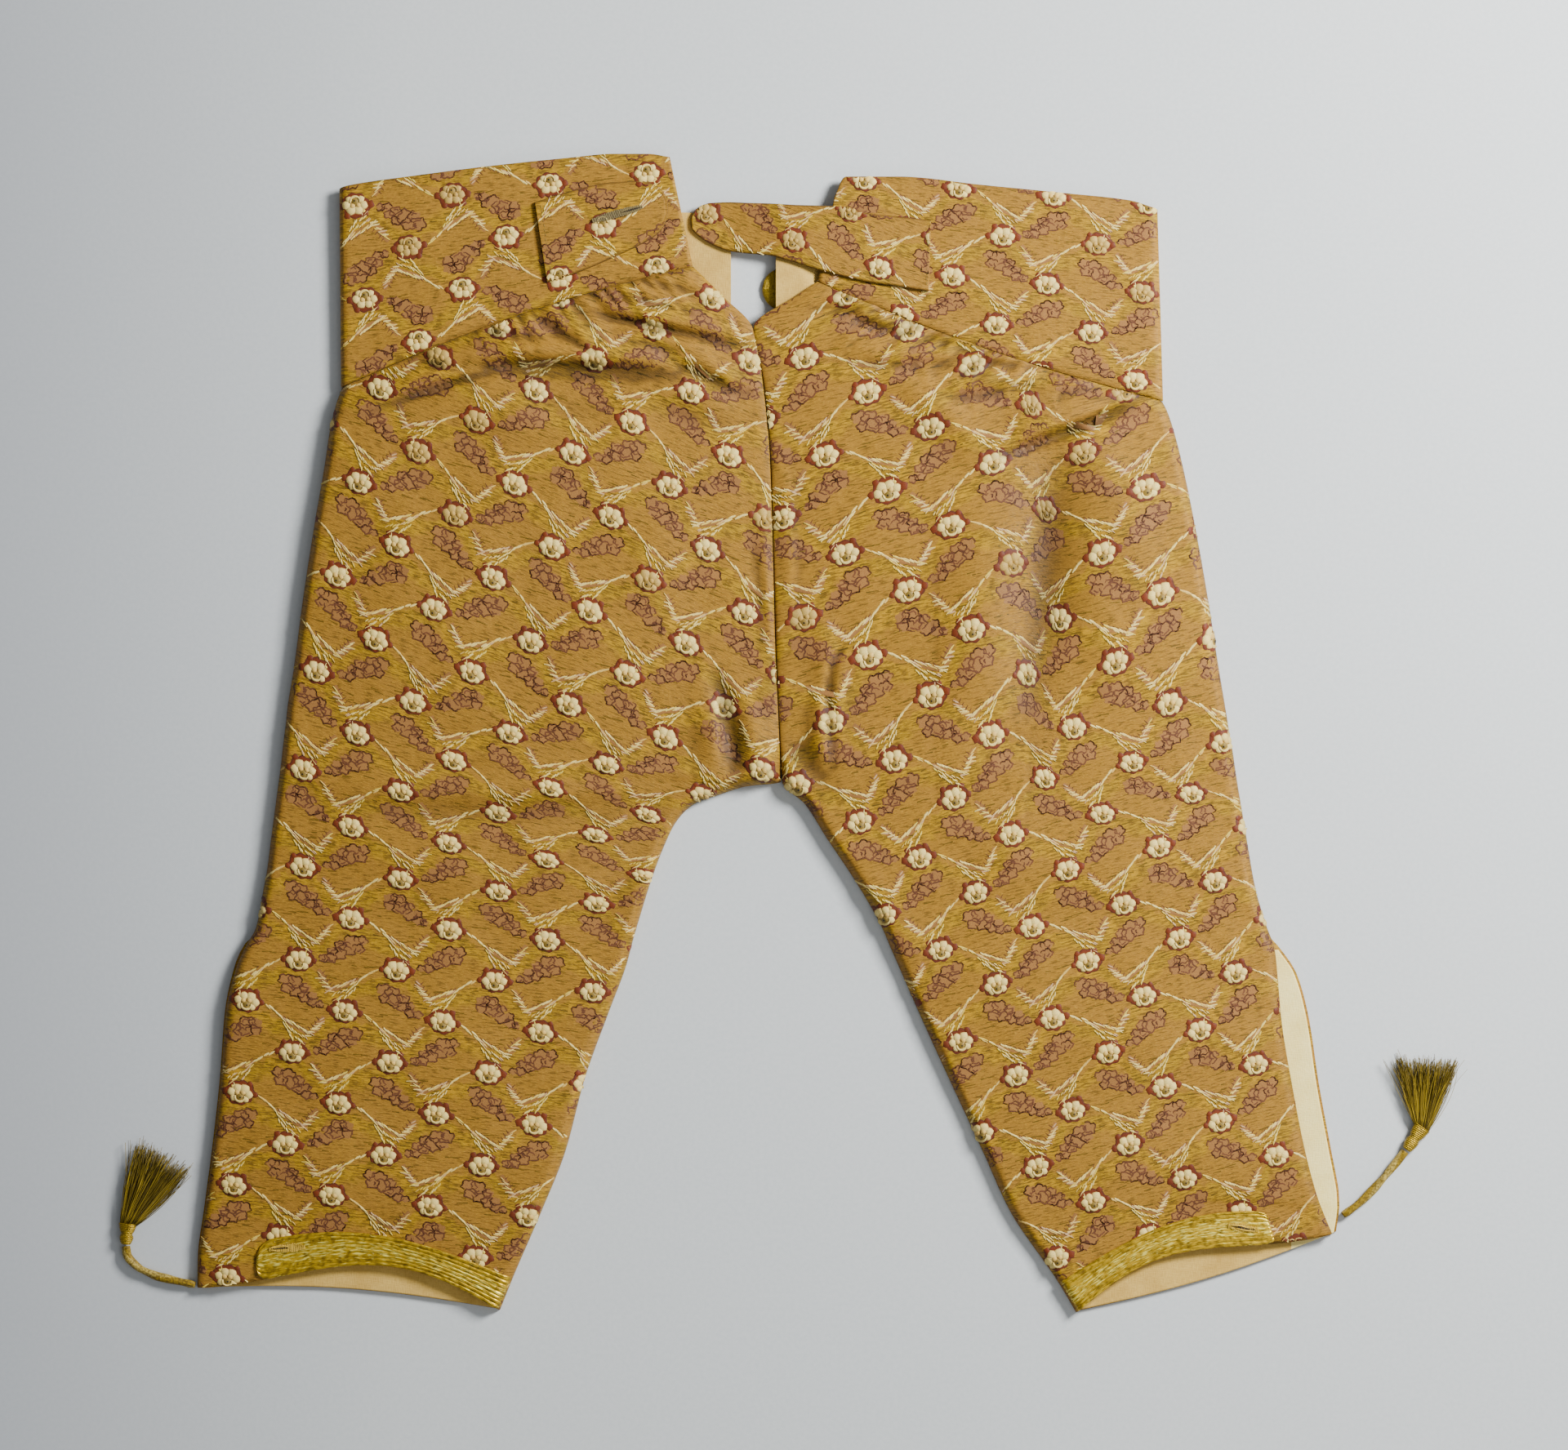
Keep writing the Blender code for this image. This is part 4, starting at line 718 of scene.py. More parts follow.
def place_right(s, t):
    """Plan points of the right back's pattern coordinates."""
    turn = eased(t, *TURN_RIGHT)[..., None]
    point = affine(SEAT_RIGHT_PX, s, t) * (1 - turn) + affine(LEG_RIGHT_PX, s, t, LEG_RIGHT_ROW) * turn
    beyond = eased(point[..., 0], VALLEY_FROM_MM, VALLEY_TO_MM) * eased(point[..., 1], -60.0, 20.0)
    return point + beyond[..., None] * np.array(VALLEY_MOVE_MM)


def simple_place(lattice):
    """Placing function of a piece with one lattice."""
    return lambda s, t: affine(lattice, s, t)


def pattern_uv(points, place):
    """Pattern coordinates of plan points: the inverse of a placing function."""
    flat = points.reshape(-1, 2)
    s = np.zeros(len(flat))
    t = np.zeros(len(flat))
    small = 0.01
    for _ in range(12):
        here = place(s, t)
        ds = (place(s + small, t) - here) / small
        dt = (place(s, t + small) - here) / small
        miss = flat - here
        det = ds[:, 0] * dt[:, 1] - ds[:, 1] * dt[:, 0]
        s = s + np.clip((miss[:, 0] * dt[:, 1] - miss[:, 1] * dt[:, 0]) / det, -4, 4)
        t = t + np.clip((ds[:, 0] * miss[:, 1] - ds[:, 1] * miss[:, 0]) / det, -4, 4)
    return np.stack([s, t], axis=1).reshape(points.shape[:-1] + (2,))


# The woven flowers and sprays
# A motif is drawn in millimetres across and down from the middle of its flower, with heights above
# the cloth. Its spray runs to the next flower on the right; every other row is its mirror image.
PETALS = (
    ("angle", "reach", "radius"),
    (166.0, 4.6, 2.6),
    (112.0, 3.9, 2.7),
    (54.0, 4.0, 2.9),
    (2.0, 4.7, 2.7),
    (-42.0, 4.3, 2.1),
    (218.0, 4.2, 2.1),
)
INNER_PETALS = ((-1.7, -0.8, 1.6), (1.6, -0.9, 1.7))
HOLLOW_DOWN = 1.6
CUP_RADIUS = 2.7
RING = (
    ("share", "height", "dark"),
    (0.5, 0.1, 0.0),
    (0.84, 0.2, 0.1),
    (1.0, 0.02, 1.0),
)
RING_WIDTH = 8.1
RING_DEPTH = 6.9
RING_LIFT = 0.9
RING_SCALLOPS = 9
EARS = ((-8.2, -1.0, 2.1), (8.3, -0.4, 1.9), (-5.4, -5.6, 1.7), (5.0, -5.9, 1.8))
CLUSTER = (
    ("across", "down", "radius"),
    (6.2, 11.0, 3.8),
    (1.4, 11.8, 4.2),
    (5.0, 15.4, 3.6),
    (-0.6, 16.0, 4.2),
    (-4.8, 14.4, 2.8),
    (-5.2, 19.0, 3.4),
    (-9.0, 18.0, 2.7),
    (-9.6, 21.8, 2.8),
    (-13.4, 22.4, 2.2),
)

# Lines of slanted stitches in a spray: from, to, how many, their lean in degrees, length and half-width
FEATHERS = (
    ((8.8, -1.0), (17.0, 3.6), 3, 36.0, 4.8, 0.66),
    ((16.6, 4.0), (23.4, 8.6), 4, 42.0, 4.2, 0.6),
    ((21.6, 6.0), (34.6, 13.0), 8, 34.0, 4.8, 0.58),
    ((19.6, 7.4), (26.0, 12.4), 4, 54.0, 3.6, 0.48),
    ((21.8, 10.6), (26.6, 16.4), 5, 64.0, 2.6, 0.52),
    ((25.6, 12.0), (33.6, 16.0), 6, 46.0, 2.8, 0.38),
    ((33.0, 15.2), (39.8, 6.6), 6, 0.0, 5.2, 0.58),
    ((36.4, 12.0), (41.6, 5.2), 4, -32.0, 3.8, 0.44),
    ((27.8, 15.4), (32.0, 19.2), 5, 40.0, 2.8, 0.52),
    ((30.8, 18.8), (31.2, 22.4), 4, 104.0, 2.8, 0.6),
)
# Rows of dark stitches above the two arms of a spray: from, to and how many
HOOKS = (
    ((22.6, 6.8), (35.0, 12.8), 7),
    ((36.2, 11.4), (40.6, 5.6), 4),
)
ARM_SHADE = ((36.6, 13.8), (39.6, 9.2), (43.0, 3.4))
STEM_SHADE = ((18.0, 5.0), (26.0, 9.8), (35.6, 14.6))


class Drawing:
    """Points, triangles and colours of one motif."""

    def __init__(self, seed):
        self.points = []
        self.triangles = []
        self.colours = []
        self.pale = []
        self.random = np.random.default_rng(seed)

    def colour(self, name, change=0.06):
        """A thread colour, a little lighter or darker each time."""
        return linear(THREADS[name]) * (1 + change * self.random.uniform(-1, 1))

    def add(self, across, down, height, colour, pale=0.0):
        self.points.append((across, down, height))
        self.colours.append(tuple(colour))
        self.pale.append(pale)
        return len(self.points) - 1

    def dome(self, across, down, radius, height, inner, outer, sides=9, pale=0.0, lumps=0.0):
        """A round raised spot, paler in the middle."""
        turn = self.random.uniform(0, 6.28)
        centre = self.add(across, down, height, inner, pale)
        rings = []
        for share, level, tone in ((0.76, 0.7, 0.12), (1.0, 0.0, 1.0)):
            ring = []
            colour = np.asarray(inner) * (1 - tone) + np.asarray(outer) * tone
            for k in range(sides):
                angle = 2 * math.pi * k / sides
                reach = radius * share * (1 + lumps * math.sin(5 * angle + turn))
                x = across + reach * math.cos(angle)
                y = down + reach * math.sin(angle)
                ring.append(self.add(x, y, height * level + 0.04, colour, pale))
            rings.append(ring)
        first, second = rings
        for k in range(sides):
            m = (k + 1) % sides
            self.triangles.append((centre, first[k], first[m]))
            self.triangles.append((first[k], second[k], second[m]))
            self.triangles.append((first[k], second[m], first[m]))

    def ribbon(self, line, widths, height, colour, pale=0.0, loop=False):
        """A raised thread along a line, its sides darker with painted shade."""
        line = np.asarray(line, float)
        if loop:
            along = np.roll(line, -1, axis=0) - np.roll(line, 1, axis=0)
        else:
            along = np.gradient(line, axis=0)
        square = np.stack([-along[:, 1], along[:, 0]], axis=1)
        square /= np.linalg.norm(square, axis=1)[:, None]
        colour = np.asarray(colour)
        ids = []
        for point, out, width in zip(line, square, np.broadcast_to(widths, len(line))):
            # Sides at 0.8 of the colour: painted shade where the thread rounds down into the cloth
            one = self.add(*(point - out * width), -0.02, colour * 0.8, pale)
            top = self.add(*point, height, colour, pale)
            two = self.add(*(point + out * width), -0.02, colour * 0.8, pale)
            ids.append((one, top, two))
        pairs = list(zip(ids, ids[1:]))
        if loop:
            pairs.append((ids[-1], ids[0]))
        for first, second in pairs:
            for k in range(2):
                self.triangles.append((first[k], first[k + 1], second[k + 1]))
                self.triangles.append((first[k], second[k + 1], second[k]))

    def line(self, line, widths, height, colour):
        """A flat dark line, no thicker than one thread."""
        line = np.asarray(line, float)
        along = np.gradient(line, axis=0)
        square = np.stack([-along[:, 1], along[:, 0]], axis=1)
        square /= np.linalg.norm(square, axis=1)[:, None]
        last = None
        for point, out, width in zip(line, square, np.broadcast_to(widths, len(line))):
            pair = self.add(*(point - out * width), height, colour), self.add(*(point + out * width), height, colour)
            if last:
                self.triangles.append((last[0], last[1], pair[1]))
                self.triangles.append((last[0], pair[1], pair[0]))
            last = pair

    def stroke(self, across, down, angle, length, width, height, colour):
        """One short stitch from a place, at an angle in degrees, pointed at both ends."""
        step = np.array([math.cos(math.radians(angle)), math.sin(math.radians(angle))]) * length
        start = np.array([across, down])
        self.ribbon((start, start + step * 0.5, start + step), (width * 0.6, width, width * 0.45), height, colour)

    def feather(self, start, end, count, lean, length, width):
        """Stitches side by side along a line, all leaning one way, with gaps between them."""
        for k in range(count):
            share = (k + self.random.uniform(0.25, 0.75)) / count
            at = np.array(start) + (np.array(end) - np.array(start)) * share + self.random.uniform(-0.45, 0.45, 2)
            name = self.random.choice(["cream", "cream", "cream", "cream_deep", "cream_pink", "yellow"])
            angle = lean + self.random.uniform(-8, 8)
            reach = length * self.random.uniform(0.7, 1.15)
            wide = width * self.random.uniform(0.8, 1.15)
            self.stroke(at[0], at[1], angle, reach, wide, 0.45, self.colour(name))


def draw_flower(d):
    """A raised cream flower with a hollow, on a scalloped red-brown ring."""
    red, dark = d.colour("red_brown", 0.12), d.colour("dark_brown", 0.2)
    sides = 36
    columns, *rows = RING
    turn = d.random.uniform(0, 6.28)
    rings = []
    for share, height, tone in rows:
        ring = []
        for k in range(sides):
            angle = 2 * math.pi * k / sides
            scallop = 1 + 0.06 * math.cos(RING_SCALLOPS * angle) + 0.035 * math.sin(2 * angle + turn)
            reach = (scallop if share > 0.6 else 1) * share
            x = reach * RING_WIDTH * math.cos(angle)
            y = reach * RING_DEPTH * math.sin(angle) - RING_LIFT
            ring.append(d.add(x, y, height, red * (1 - tone) + dark * tone))
        rings.append(ring)
    for inner, outer in zip(rings, rings[1:]):
        for k in range(sides):
            m = (k + 1) % sides
            d.triangles.append((inner[k], outer[k], outer[m]))
            d.triangles.append((inner[k], outer[m], inner[m]))
    for across, down, radius in EARS:
        d.dome(across, down, radius * d.random.uniform(0.85, 1.15), 0.3, red, dark, lumps=0.14)
    # Petals run from cream in the middle to petal_edge at the rim: partly the thread's edge colour, partly painted
    # shade where each petal falls away
    columns, *rows = PETALS
    for angle, reach, radius in rows:
        x = reach * math.cos(math.radians(angle)) * 1.04
        y = -reach * math.sin(math.radians(angle)) * 0.9
        size = radius * d.random.uniform(0.9, 1.08)
        d.dome(x, y, size, 0.8, d.colour("cream"), d.colour("petal_edge"), pale=1.0, lumps=0.08)
    for across, down, radius in INNER_PETALS:
        d.dome(across, down, radius, 1.0, d.colour("cream_deep"), d.colour("petal_edge"), pale=1.0, lumps=0.06)
    turns = np.linspace(math.radians(-20), math.radians(200), 13)
    cup = np.stack([CUP_RADIUS * np.cos(turns), HOLLOW_DOWN + CUP_RADIUS * 0.9 * np.sin(turns)], axis=1)
    d.dome(0.0, HOLLOW_DOWN - 0.2, 2.3, 0.9, d.colour("hollow"), d.colour("cream_deep"), pale=0.4)
    d.ribbon(cup, 0.85 * np.sin(np.linspace(0.5, 2.64, 13)), 1.25, d.colour("cream"), pale=1.0)
    d.dome(0.3, HOLLOW_DOWN + 0.1, 0.8, 1.06, d.colour("slit"), d.colour("hollow"), sides=7)


def draw_spray(d):
    """The feathered spray between this flower and the next, and its short stem to the row below."""
    shade = d.colour("mauve", 0.1)
    d.ribbon(ARM_SHADE, (1.0, 2.6, 1.2), 0.1, shade)
    d.ribbon(STEM_SHADE, (0.4, 1.5, 1.0), 0.08, shade)
    for start, end, count, lean, length, width in FEATHERS:
        d.feather(start, end, count, lean, length, width)
    d.dome(31.4, 21.4, 0.9, 0.5, d.colour("yellow"), d.colour("cream_deep"), sides=7)
    for start, end, count in HOOKS:
        for share in np.linspace(0, 1, count):
            at = np.array(start) * (1 - share) + np.array(end) * share + d.random.uniform(-0.3, 0.3, 2)
            d.line((at, at - (1.5, 1.7)), (0.3, 0.12), 0.08, d.colour("mauve_dark", 0.2))
    for _ in range(20):
        at = d.random.uniform((2, 4), (52, 26))
        length = d.random.uniform(2.5, 6.5)
        end = at + (length, length * d.random.uniform(-0.16, 0.16))
        d.line((at, end), (0.3, 0.16), 0.05, d.colour("olive", 0.2))


def draw_cluster(d):
    """Lumpy mauve-brown blots under a flower, with dark wavering outlines."""
    columns, *rows = CLUSTER
    outlines = []
    for across, down, radius in rows:
        start = d.random.uniform(0, 6.28)
        turns = np.linspace(0, 2 * math.pi, 22)[:-1]
        reach = radius * d.random.uniform(0.85, 1.1)
        reach = reach * (1 + 0.14 * np.sin(5 * turns + start) + 0.08 * np.sin(9 * turns + 2 * start))
        line = np.stack([across + reach * np.cos(turns) * 1.1, down + reach * np.sin(turns) * 0.84], axis=1)
        fill = d.colour("mauve", 0.08)
        centre = d.add(across, down, 0.07, fill)
        middle = np.array([across, down])
        ring = [d.add(x, y, 0.05, fill) for x, y in middle + (line - middle) * 0.86]
        for k in range(len(ring)):
            d.triangles.append((centre, ring[k], ring[(k + 1) % len(ring)]))
        outlines.append(line)
    for line in outlines:
        for _ in range(3):
            first = int(d.random.integers(0, len(line)))
            arc = np.roll(line, first, axis=0)[: int(d.random.integers(7, 12))]
            widths = 0.42 * np.sin(np.linspace(0.5, 2.8, len(arc)))
            d.line(arc, widths, 0.12, d.colour("mauve_dark", 0.2))
    for _ in range(7):
        line = outlines[int(d.random.integers(0, len(outlines)))]
        middle = line.mean(axis=0)
        inner = middle + (line - middle) * d.random.uniform(0.3, 0.65)
        first = int(d.random.integers(0, 13))
        d.line(inner[first : first + 7], 0.34, 0.1, d.colour("mauve_dark", 0.2))


def drawn(seed):
    """One variant of the whole motif, as arrays."""
    d = Drawing(seed)
    draw_cluster(d)
    draw_spray(d)
    draw_flower(d)
    return np.array(d.points), np.array(d.triangles), np.array(d.colours), np.array(d.pale)


def drawn_plainly(seed):
    """The same motif for the faces that lie against the floor, in fewer and flatter shapes."""
    d = Drawing(seed)
    for across, down, radius in CLUSTER[1:]:
        d.dome(across, down, radius * 0.95, 0.08, d.colour("mauve"), d.colour("mauve_dark"), sides=7, lumps=0.1)
    for start, end, count, lean, length, width in FEATHERS:
        d.ribbon((start, end), length * 0.25, 0.3, d.colour("cream"))
    d.dome(0.0, -RING_LIFT, RING_WIDTH * 0.9, 0.2, d.colour("red_brown"), d.colour("dark_brown"), sides=16)
    for angle, reach, radius in PETALS[1:]:
        x = reach * math.cos(math.radians(angle))
        y = -reach * math.sin(math.radians(angle)) * 0.9
        d.dome(x, y, radius, 0.8, d.colour("cream"), d.colour("petal_edge"), sides=7, pale=1.0)
    d.dome(0.0, HOLLOW_DOWN, 2.0, 1.0, d.colour("hollow"), d.colour("cream_deep"), sides=7)
    return np.array(d.points), np.array(d.triangles), np.array(d.colours), np.array(d.pale)


MOTIFS = [drawn(seed) for seed in range(6)]
PLAIN_MOTIFS = [drawn_plainly(seed) for seed in range(2)]


def bvh_of(grid):
    """Search tree of a surface grid in millimetres."""
    rows, columns = grid.shape[:2]
    return BVHTree.FromPolygons(grid.reshape(-1, 3).tolist(), grid_triangles(rows, columns).tolist())


def on_surface(tree, plan_points, heights, up):
    """Points dropped onto a surface from above, or raised onto it from below, and moved out of it."""
    result = np.full((len(plan_points), 3), np.nan)
    normals = np.zeros((len(plan_points), 3))
    cells = np.zeros(len(plan_points), int)
    ray = Vector((0, 0, -up))
    far = 60.0 * up
    for k, (x, y) in enumerate(plan_points):
        hit, normal, cell, _ = tree.ray_cast(Vector((x, y, far)), ray)
        if hit is None:
            continue
        if normal.z * up < 0:
            normal = -normal
        result[k] = hit + normal * heights[k]
        normals[k] = normal
        cells[k] = cell
    return result, normals, cells


# Share by which the painted shade of the cloth beneath also darkens the pattern threads
THREAD_PAINTED_SHADE = 0.8


def joined(name, points, triangles, ups, colours, material):
    """An open mesh of drawn threads, with its faces turned away from the cloth."""
    corner = points[triangles]
    normal = np.cross(corner[:, 1] - corner[:, 0], corner[:, 2] - corner[:, 0])
    wrong = (normal * ups[triangles[:, 0]]).sum(axis=1) < 0
    triangles[wrong] = triangles[wrong][:, ::-1]
    triangles = triangles[np.linalg.norm(normal, axis=1) > 1e-7]
    used, fresh = np.unique(triangles, return_inverse=True)
    return add_mesh(name, points[used], fresh.reshape(-1, 3), material, colours=colours[used], closed=False)


def lay_on(name, d, grid, start, end, material, slot):
    """A drawing laid on a surface, its across direction running between two pixels of the photograph."""
    points, triangles = np.array(d.points), np.array(d.triangles)
    first = plan(start)
    along = plan(end) - first
    along /= np.linalg.norm(along)
    square = np.array([along[1], -along[0]])
    place = first + points[:, :1] * along + points[:, 1:2] * square
    there, ups, _ = on_surface(bvh_of(grid), place, points[:, 2], 1)
    good = ~np.isnan(there[:, 0])[triangles].any(axis=1)
    made = joined(name, np.nan_to_num(there), triangles[good], ups, np.array(d.colours), material)
    ride(made, slot)
    return made


def draw_buttonhole(d, length, half_width, slit, thread):
    """Overcast stitches on both sides of a slit, closed round its ends."""
    count = int(length / 0.8)
    for k in range(count):
        x = length * (k + 0.5) / count
        near_end = math.sin(math.pi * min(max((k + 0.5) / count, 0.04), 0.96)) ** 0.35
        half = half_width * near_end * d.random.uniform(0.9, 1.1)
        d.ribbon(((x, -half), (x, 0.0), (x, half)), 0.34, 0.35, d.colour(thread, 0.18))
    low, high = slit
    at = np.linspace(low, high, 9)
    opening = 0.75 * np.sin(np.linspace(0.25, 2.9, 9))
    # The slit is a dark strip: painted shade in the opening
    d.ribbon(np.stack([at, 0 * at], axis=1), opening, 0.42, d.colour("slit"))
    # Rims beside the slit a quarter brighter: painted highlight on the raised edge
    for side in (-1, 1):
        line = np.stack([at, side * (opening + 0.35)], axis=1)
        d.ribbon(line, 0.3, 0.62, d.colour(thread, 0.1) * 1.25)


def draw_stitches(d, length, step, reach, thread):
    """A row of short running stitches."""
    for k in range(int(length / step)):
        d.stroke(k * step, d.random.uniform(-0.2, 0.2), d.random.uniform(-8, 8), reach, 0.24, 0.2, d.colour(thread, 0.2))


def embroider(name, grid, place, material, shaded=(), flatten=1.0, up=1, painted_shade=None, motifs=MOTIFS):
    """All the motifs that fall on a surface, as one joined mesh."""
    tree = bvh_of(grid)
    flat = grid[..., :2].reshape(-1, 2)
    uv = pattern_uv(grid[::6, ::6, :2], place).reshape(-1, 2)
    low, high = np.floor(uv.min(axis=0)) - 1, np.ceil(uv.max(axis=0)) + 1
    low_xy, high_xy = flat.min(axis=0) - 30, flat.max(axis=0) + 30
    all_points, all_triangles, all_colours, all_up = [], [], [], []
    total = 0
    number = 0
    for twice in range(int(2 * low[1]), int(2 * high[1]) + 1):
        t = twice / 2
        mirrored = twice % 2 == 1
        for i in range(int(low[0]), int(high[0]) + 1):
            s = i + (0.5 if mirrored else 0.0)
            middle = place(np.array([s]), np.array([t]))[0]
            if np.any(middle < low_xy - 40) or np.any(middle > high_xy + 40):
                continue
            number += 1
            points, triangles, colours, pale = motifs[(number * 7) % len(motifs)]
            sign = -1 if mirrored else 1
            across = s + sign * points[:, 0] / REPEAT_ACROSS
            down = t + points[:, 1] / REPEAT_DOWN
            there, normals, cells = on_surface(tree, place(across, down), points[:, 2] * flatten, up)
            kept = ~np.isnan(there[:, 0])
            good = kept[triangles].all(axis=1)
            if not good.any():
                continue
            # Petals near a listed flower turn beige: duller thread, and painted shade for those in the valley of the
            # right seat
            dull = 0.0
            for px in shaded:
                if np.linalg.norm(plan(px) - middle) < 16:
                    dull = 0.8
            beige = linear(THREADS["beige"])
            tone = (pale * dull)[:, None]
            toned = colours * (1 - tone) + beige * tone
            # Threads take the painted shade of the cloth they lie on
            if painted_shade is not None:
                toned = toned * (1 - THREAD_PAINTED_SHADE * painted_shade[:-1, :-1].ravel()[cells][:, None])
            all_colours.append(toned)
            all_points.append(np.nan_to_num(there))
            all_up.append(normals)
            all_triangles.append(triangles[good] + total)
            total += len(points)
    points = np.concatenate(all_points)
    triangles = np.concatenate(all_triangles)
    ups = np.concatenate(all_up)
    colours = np.concatenate(all_colours)
    return joined(name, points, triangles, ups, colours, material)


# Materials
def node(tree, kind, inputs=None, **settings):
    """A shader node with its settings, and its inputs as values or links."""
    made = tree.nodes.new(kind)
    for key, value in settings.items():
        setattr(made, key, value)
    for key, value in (inputs or {}).items():
        if isinstance(value, bpy.types.NodeSocket):
            tree.links.new(value, made.inputs[key])
        else:
            made.inputs[key].default_value = value
    return made


def new_material(name, roughness, metallic=0.0, sheen=0.0, specular=0.25):
    """A material, its node tree and its shader."""
    material = bpy.data.materials.new(name)
    material.use_nodes = True
    tree = material.node_tree
    shader = tree.nodes["Principled BSDF"]
    shader.inputs["Roughness"].default_value = roughness
    shader.inputs["Metallic"].default_value = metallic
    shader.inputs["Sheen Weight"].default_value = sheen
    shader.inputs["Specular IOR Level"].default_value = specular
    return material, tree, shader


def mixed(tree, factor, first, second):
    """One colour mixed into another."""
    made = node(tree, "ShaderNodeMix", data_type="RGBA")
    for index, value in ((0, factor), (6, first), (7, second)):
        if isinstance(value, bpy.types.NodeSocket):
            tree.links.new(value, made.inputs[index])
        elif index == 0:
            made.inputs[0].default_value = value
        else:
            made.inputs[index].default_value = (*linear(value), 1.0)
    return made.outputs[2]


def ramped(tree, value, low, high, to=(0.0, 1.0)):
    """A value stretched from one range to another and kept inside it."""
    inputs = {"Value": value, "From Min": low, "From Max": high, "To Min": to[0], "To Max": to[1]}
    return node(tree, "ShaderNodeMapRange", inputs).outputs["Result"]


def maths(tree, operation, first, second=0.0):
    """One arithmetic step."""
    return node(tree, "ShaderNodeMath", {0: first, 1: second}, operation=operation).outputs[0]


def noise(tree, vector, scale, stretch=(1.0, 1.0, 1.0), detail=2.0):
    """Noise over a vector, stretched along its axes."""
    mapped = node(tree, "ShaderNodeMapping", {"Vector": vector, "Scale": stretch}).outputs["Vector"]
    inputs = {"Vector": mapped, "Scale": scale, "Detail": detail}
    return node(tree, "ShaderNodeTexNoise", inputs).outputs["Fac"]


def bumped(tree, shader, height, distance, strength=0.6):
    """Height as a bump on the shader, its distance in metres."""
    made = node(tree, "ShaderNodeBump", {"Height": height, "Distance": distance, "Strength": strength})
    tree.links.new(made.outputs["Normal"], shader.inputs["Normal"])


def brocade_material(name):
    """Ochre silk with mauve-brown fields between zigzag bands, fine hatch and weave, and painted shade."""
    material, tree, shader = new_material(name, 0.6, sheen=0.03)
    uv = node(tree, "ShaderNodeUVMap", uv_map="cloth").outputs["UV"]
    split = node(tree, "ShaderNodeSeparateXYZ", {"Vector": uv})
    s, t = split.outputs["X"], split.outputs["Y"]
    warp = maths(tree, "MULTIPLY", maths(tree, "SUBTRACT", noise(tree, uv, 9.0, detail=3.0), 0.5), 0.22)

    def band(across, down):
        """Share of the ochre band that hangs below the sprays of one row of flowers."""
        along = maths(tree, "FRACT", across)
        fall = maths(tree, "DIVIDE", along, SPRAY_LOW_AT)
        rise = maths(tree, "DIVIDE", maths(tree, "SUBTRACT", SPRAY_END_AT, along), SPRAY_END_AT - SPRAY_LOW_AT)
        low = maths(tree, "MAXIMUM", maths(tree, "MINIMUM", fall, rise), 0.0)
        level = maths(tree, "MULTIPLY", low, SPRAY_DEPTH)
        below = maths(tree, "FRACT", maths(tree, "ADD", maths(tree, "SUBTRACT", down, level), warp))
        start = ramped(tree, below, 0.0, 0.03)
        return maths(tree, "MULTIPLY", start, ramped(tree, below, BAND_SHARE - 0.03, BAND_SHARE + 0.05, (1.0, 0.0)))

    first = band(s, t)
    second = band(maths(tree, "SUBTRACT", 0.5, s), maths(tree, "SUBTRACT", t, 0.5))
    ochre = maths(tree, "MAXIMUM", first, second)
    broad = noise(tree, uv, 4.0, detail=4.0)
    patchy = noise(tree, uv, 13.0, (1.0, 1.7, 1.0), 4.0)
    hatch = noise(tree, uv, 1.0, (9.0, 62.0, 1.0), 3.0)
    threads = noise(tree, uv, 1.0, (28.0, 150.0, 1.0), 2.0)
    grain = noise(tree, uv, 240.0, detail=2.0)
    field = mixed(tree, ramped(tree, broad, 0.38, 0.62), (158, 113, 34), (152, 109, 26))
    field = mixed(tree, ramped(tree, patchy, 0.5, 0.66, (0.0, 0.6)), field, (168, 120, 28))
    bright = mixed(tree, ramped(tree, broad, 0.36, 0.6), (190, 142, 8), (170, 132, 2))
    bright = mixed(tree, ramped(tree, patchy, 0.48, 0.62, (0.0, 0.75)), bright, (132, 100, 0))
    ground = mixed(tree, ochre, field, bright)
    streak = maths(tree, "ADD", hatch, maths(tree, "MULTIPLY", ochre, 0.05))
    ground = mixed(tree, ramped(tree, streak, 0.5, 0.64, (0.0, 0.8)), ground, (86, 62, 0))
    ground = mixed(tree, ramped(tree, threads, 0.54, 0.7, (0.0, 0.45)), ground, (206, 160, 50))
    ground = mixed(tree, ramped(tree, grain, 0.4, 0.7, (0.0, 0.4)), ground, (104, 66, 14))
    # Painted shade: the cloth darkens towards deep brown by the share its mesh carries
    painted_shade = node(tree, "ShaderNodeAttribute", attribute_name="painted_shade").outputs["Fac"]
    ground = mixed(tree, painted_shade, ground, (56, 36, 4))
    tree.links.new(ground, shader.inputs["Base Color"])
    tree.links.new(ramped(tree, patchy, 0.3, 0.7, (0.55, 0.7)), shader.inputs["Roughness"])
    weave = maths(tree, "ADD", maths(tree, "MULTIPLY", hatch, 0.7), threads)
    bumped(tree, shader, weave, 0.0004)
    return material


def thread_material():
    """Pattern thread in the colours of its mesh, with fine strands."""
    material, tree, shader = new_material("pattern_thread", 0.55, sheen=0.03)
    colour = node(tree, "ShaderNodeVertexColor", layer_name="thread").outputs["Color"]
    place = node(tree, "ShaderNodeTexCoord").outputs["Object"]
    strand = noise(tree, place, 1500.0, (1.0, 2.4, 1.0), 2.0)
    made = node(tree, "ShaderNodeMix", data_type="RGBA", blend_type="MULTIPLY")
    tree.links.new(ramped(tree, strand, 0.35, 0.6, (0.35, 0.0)), made.inputs[0])
    tree.links.new(colour, made.inputs[6])
    made.inputs[7].default_value = (*linear((170, 150, 120)), 1.0)
    tree.links.new(made.outputs[2], shader.inputs["Base Color"])
    bumped(tree, shader, strand, 0.0002)
    return material


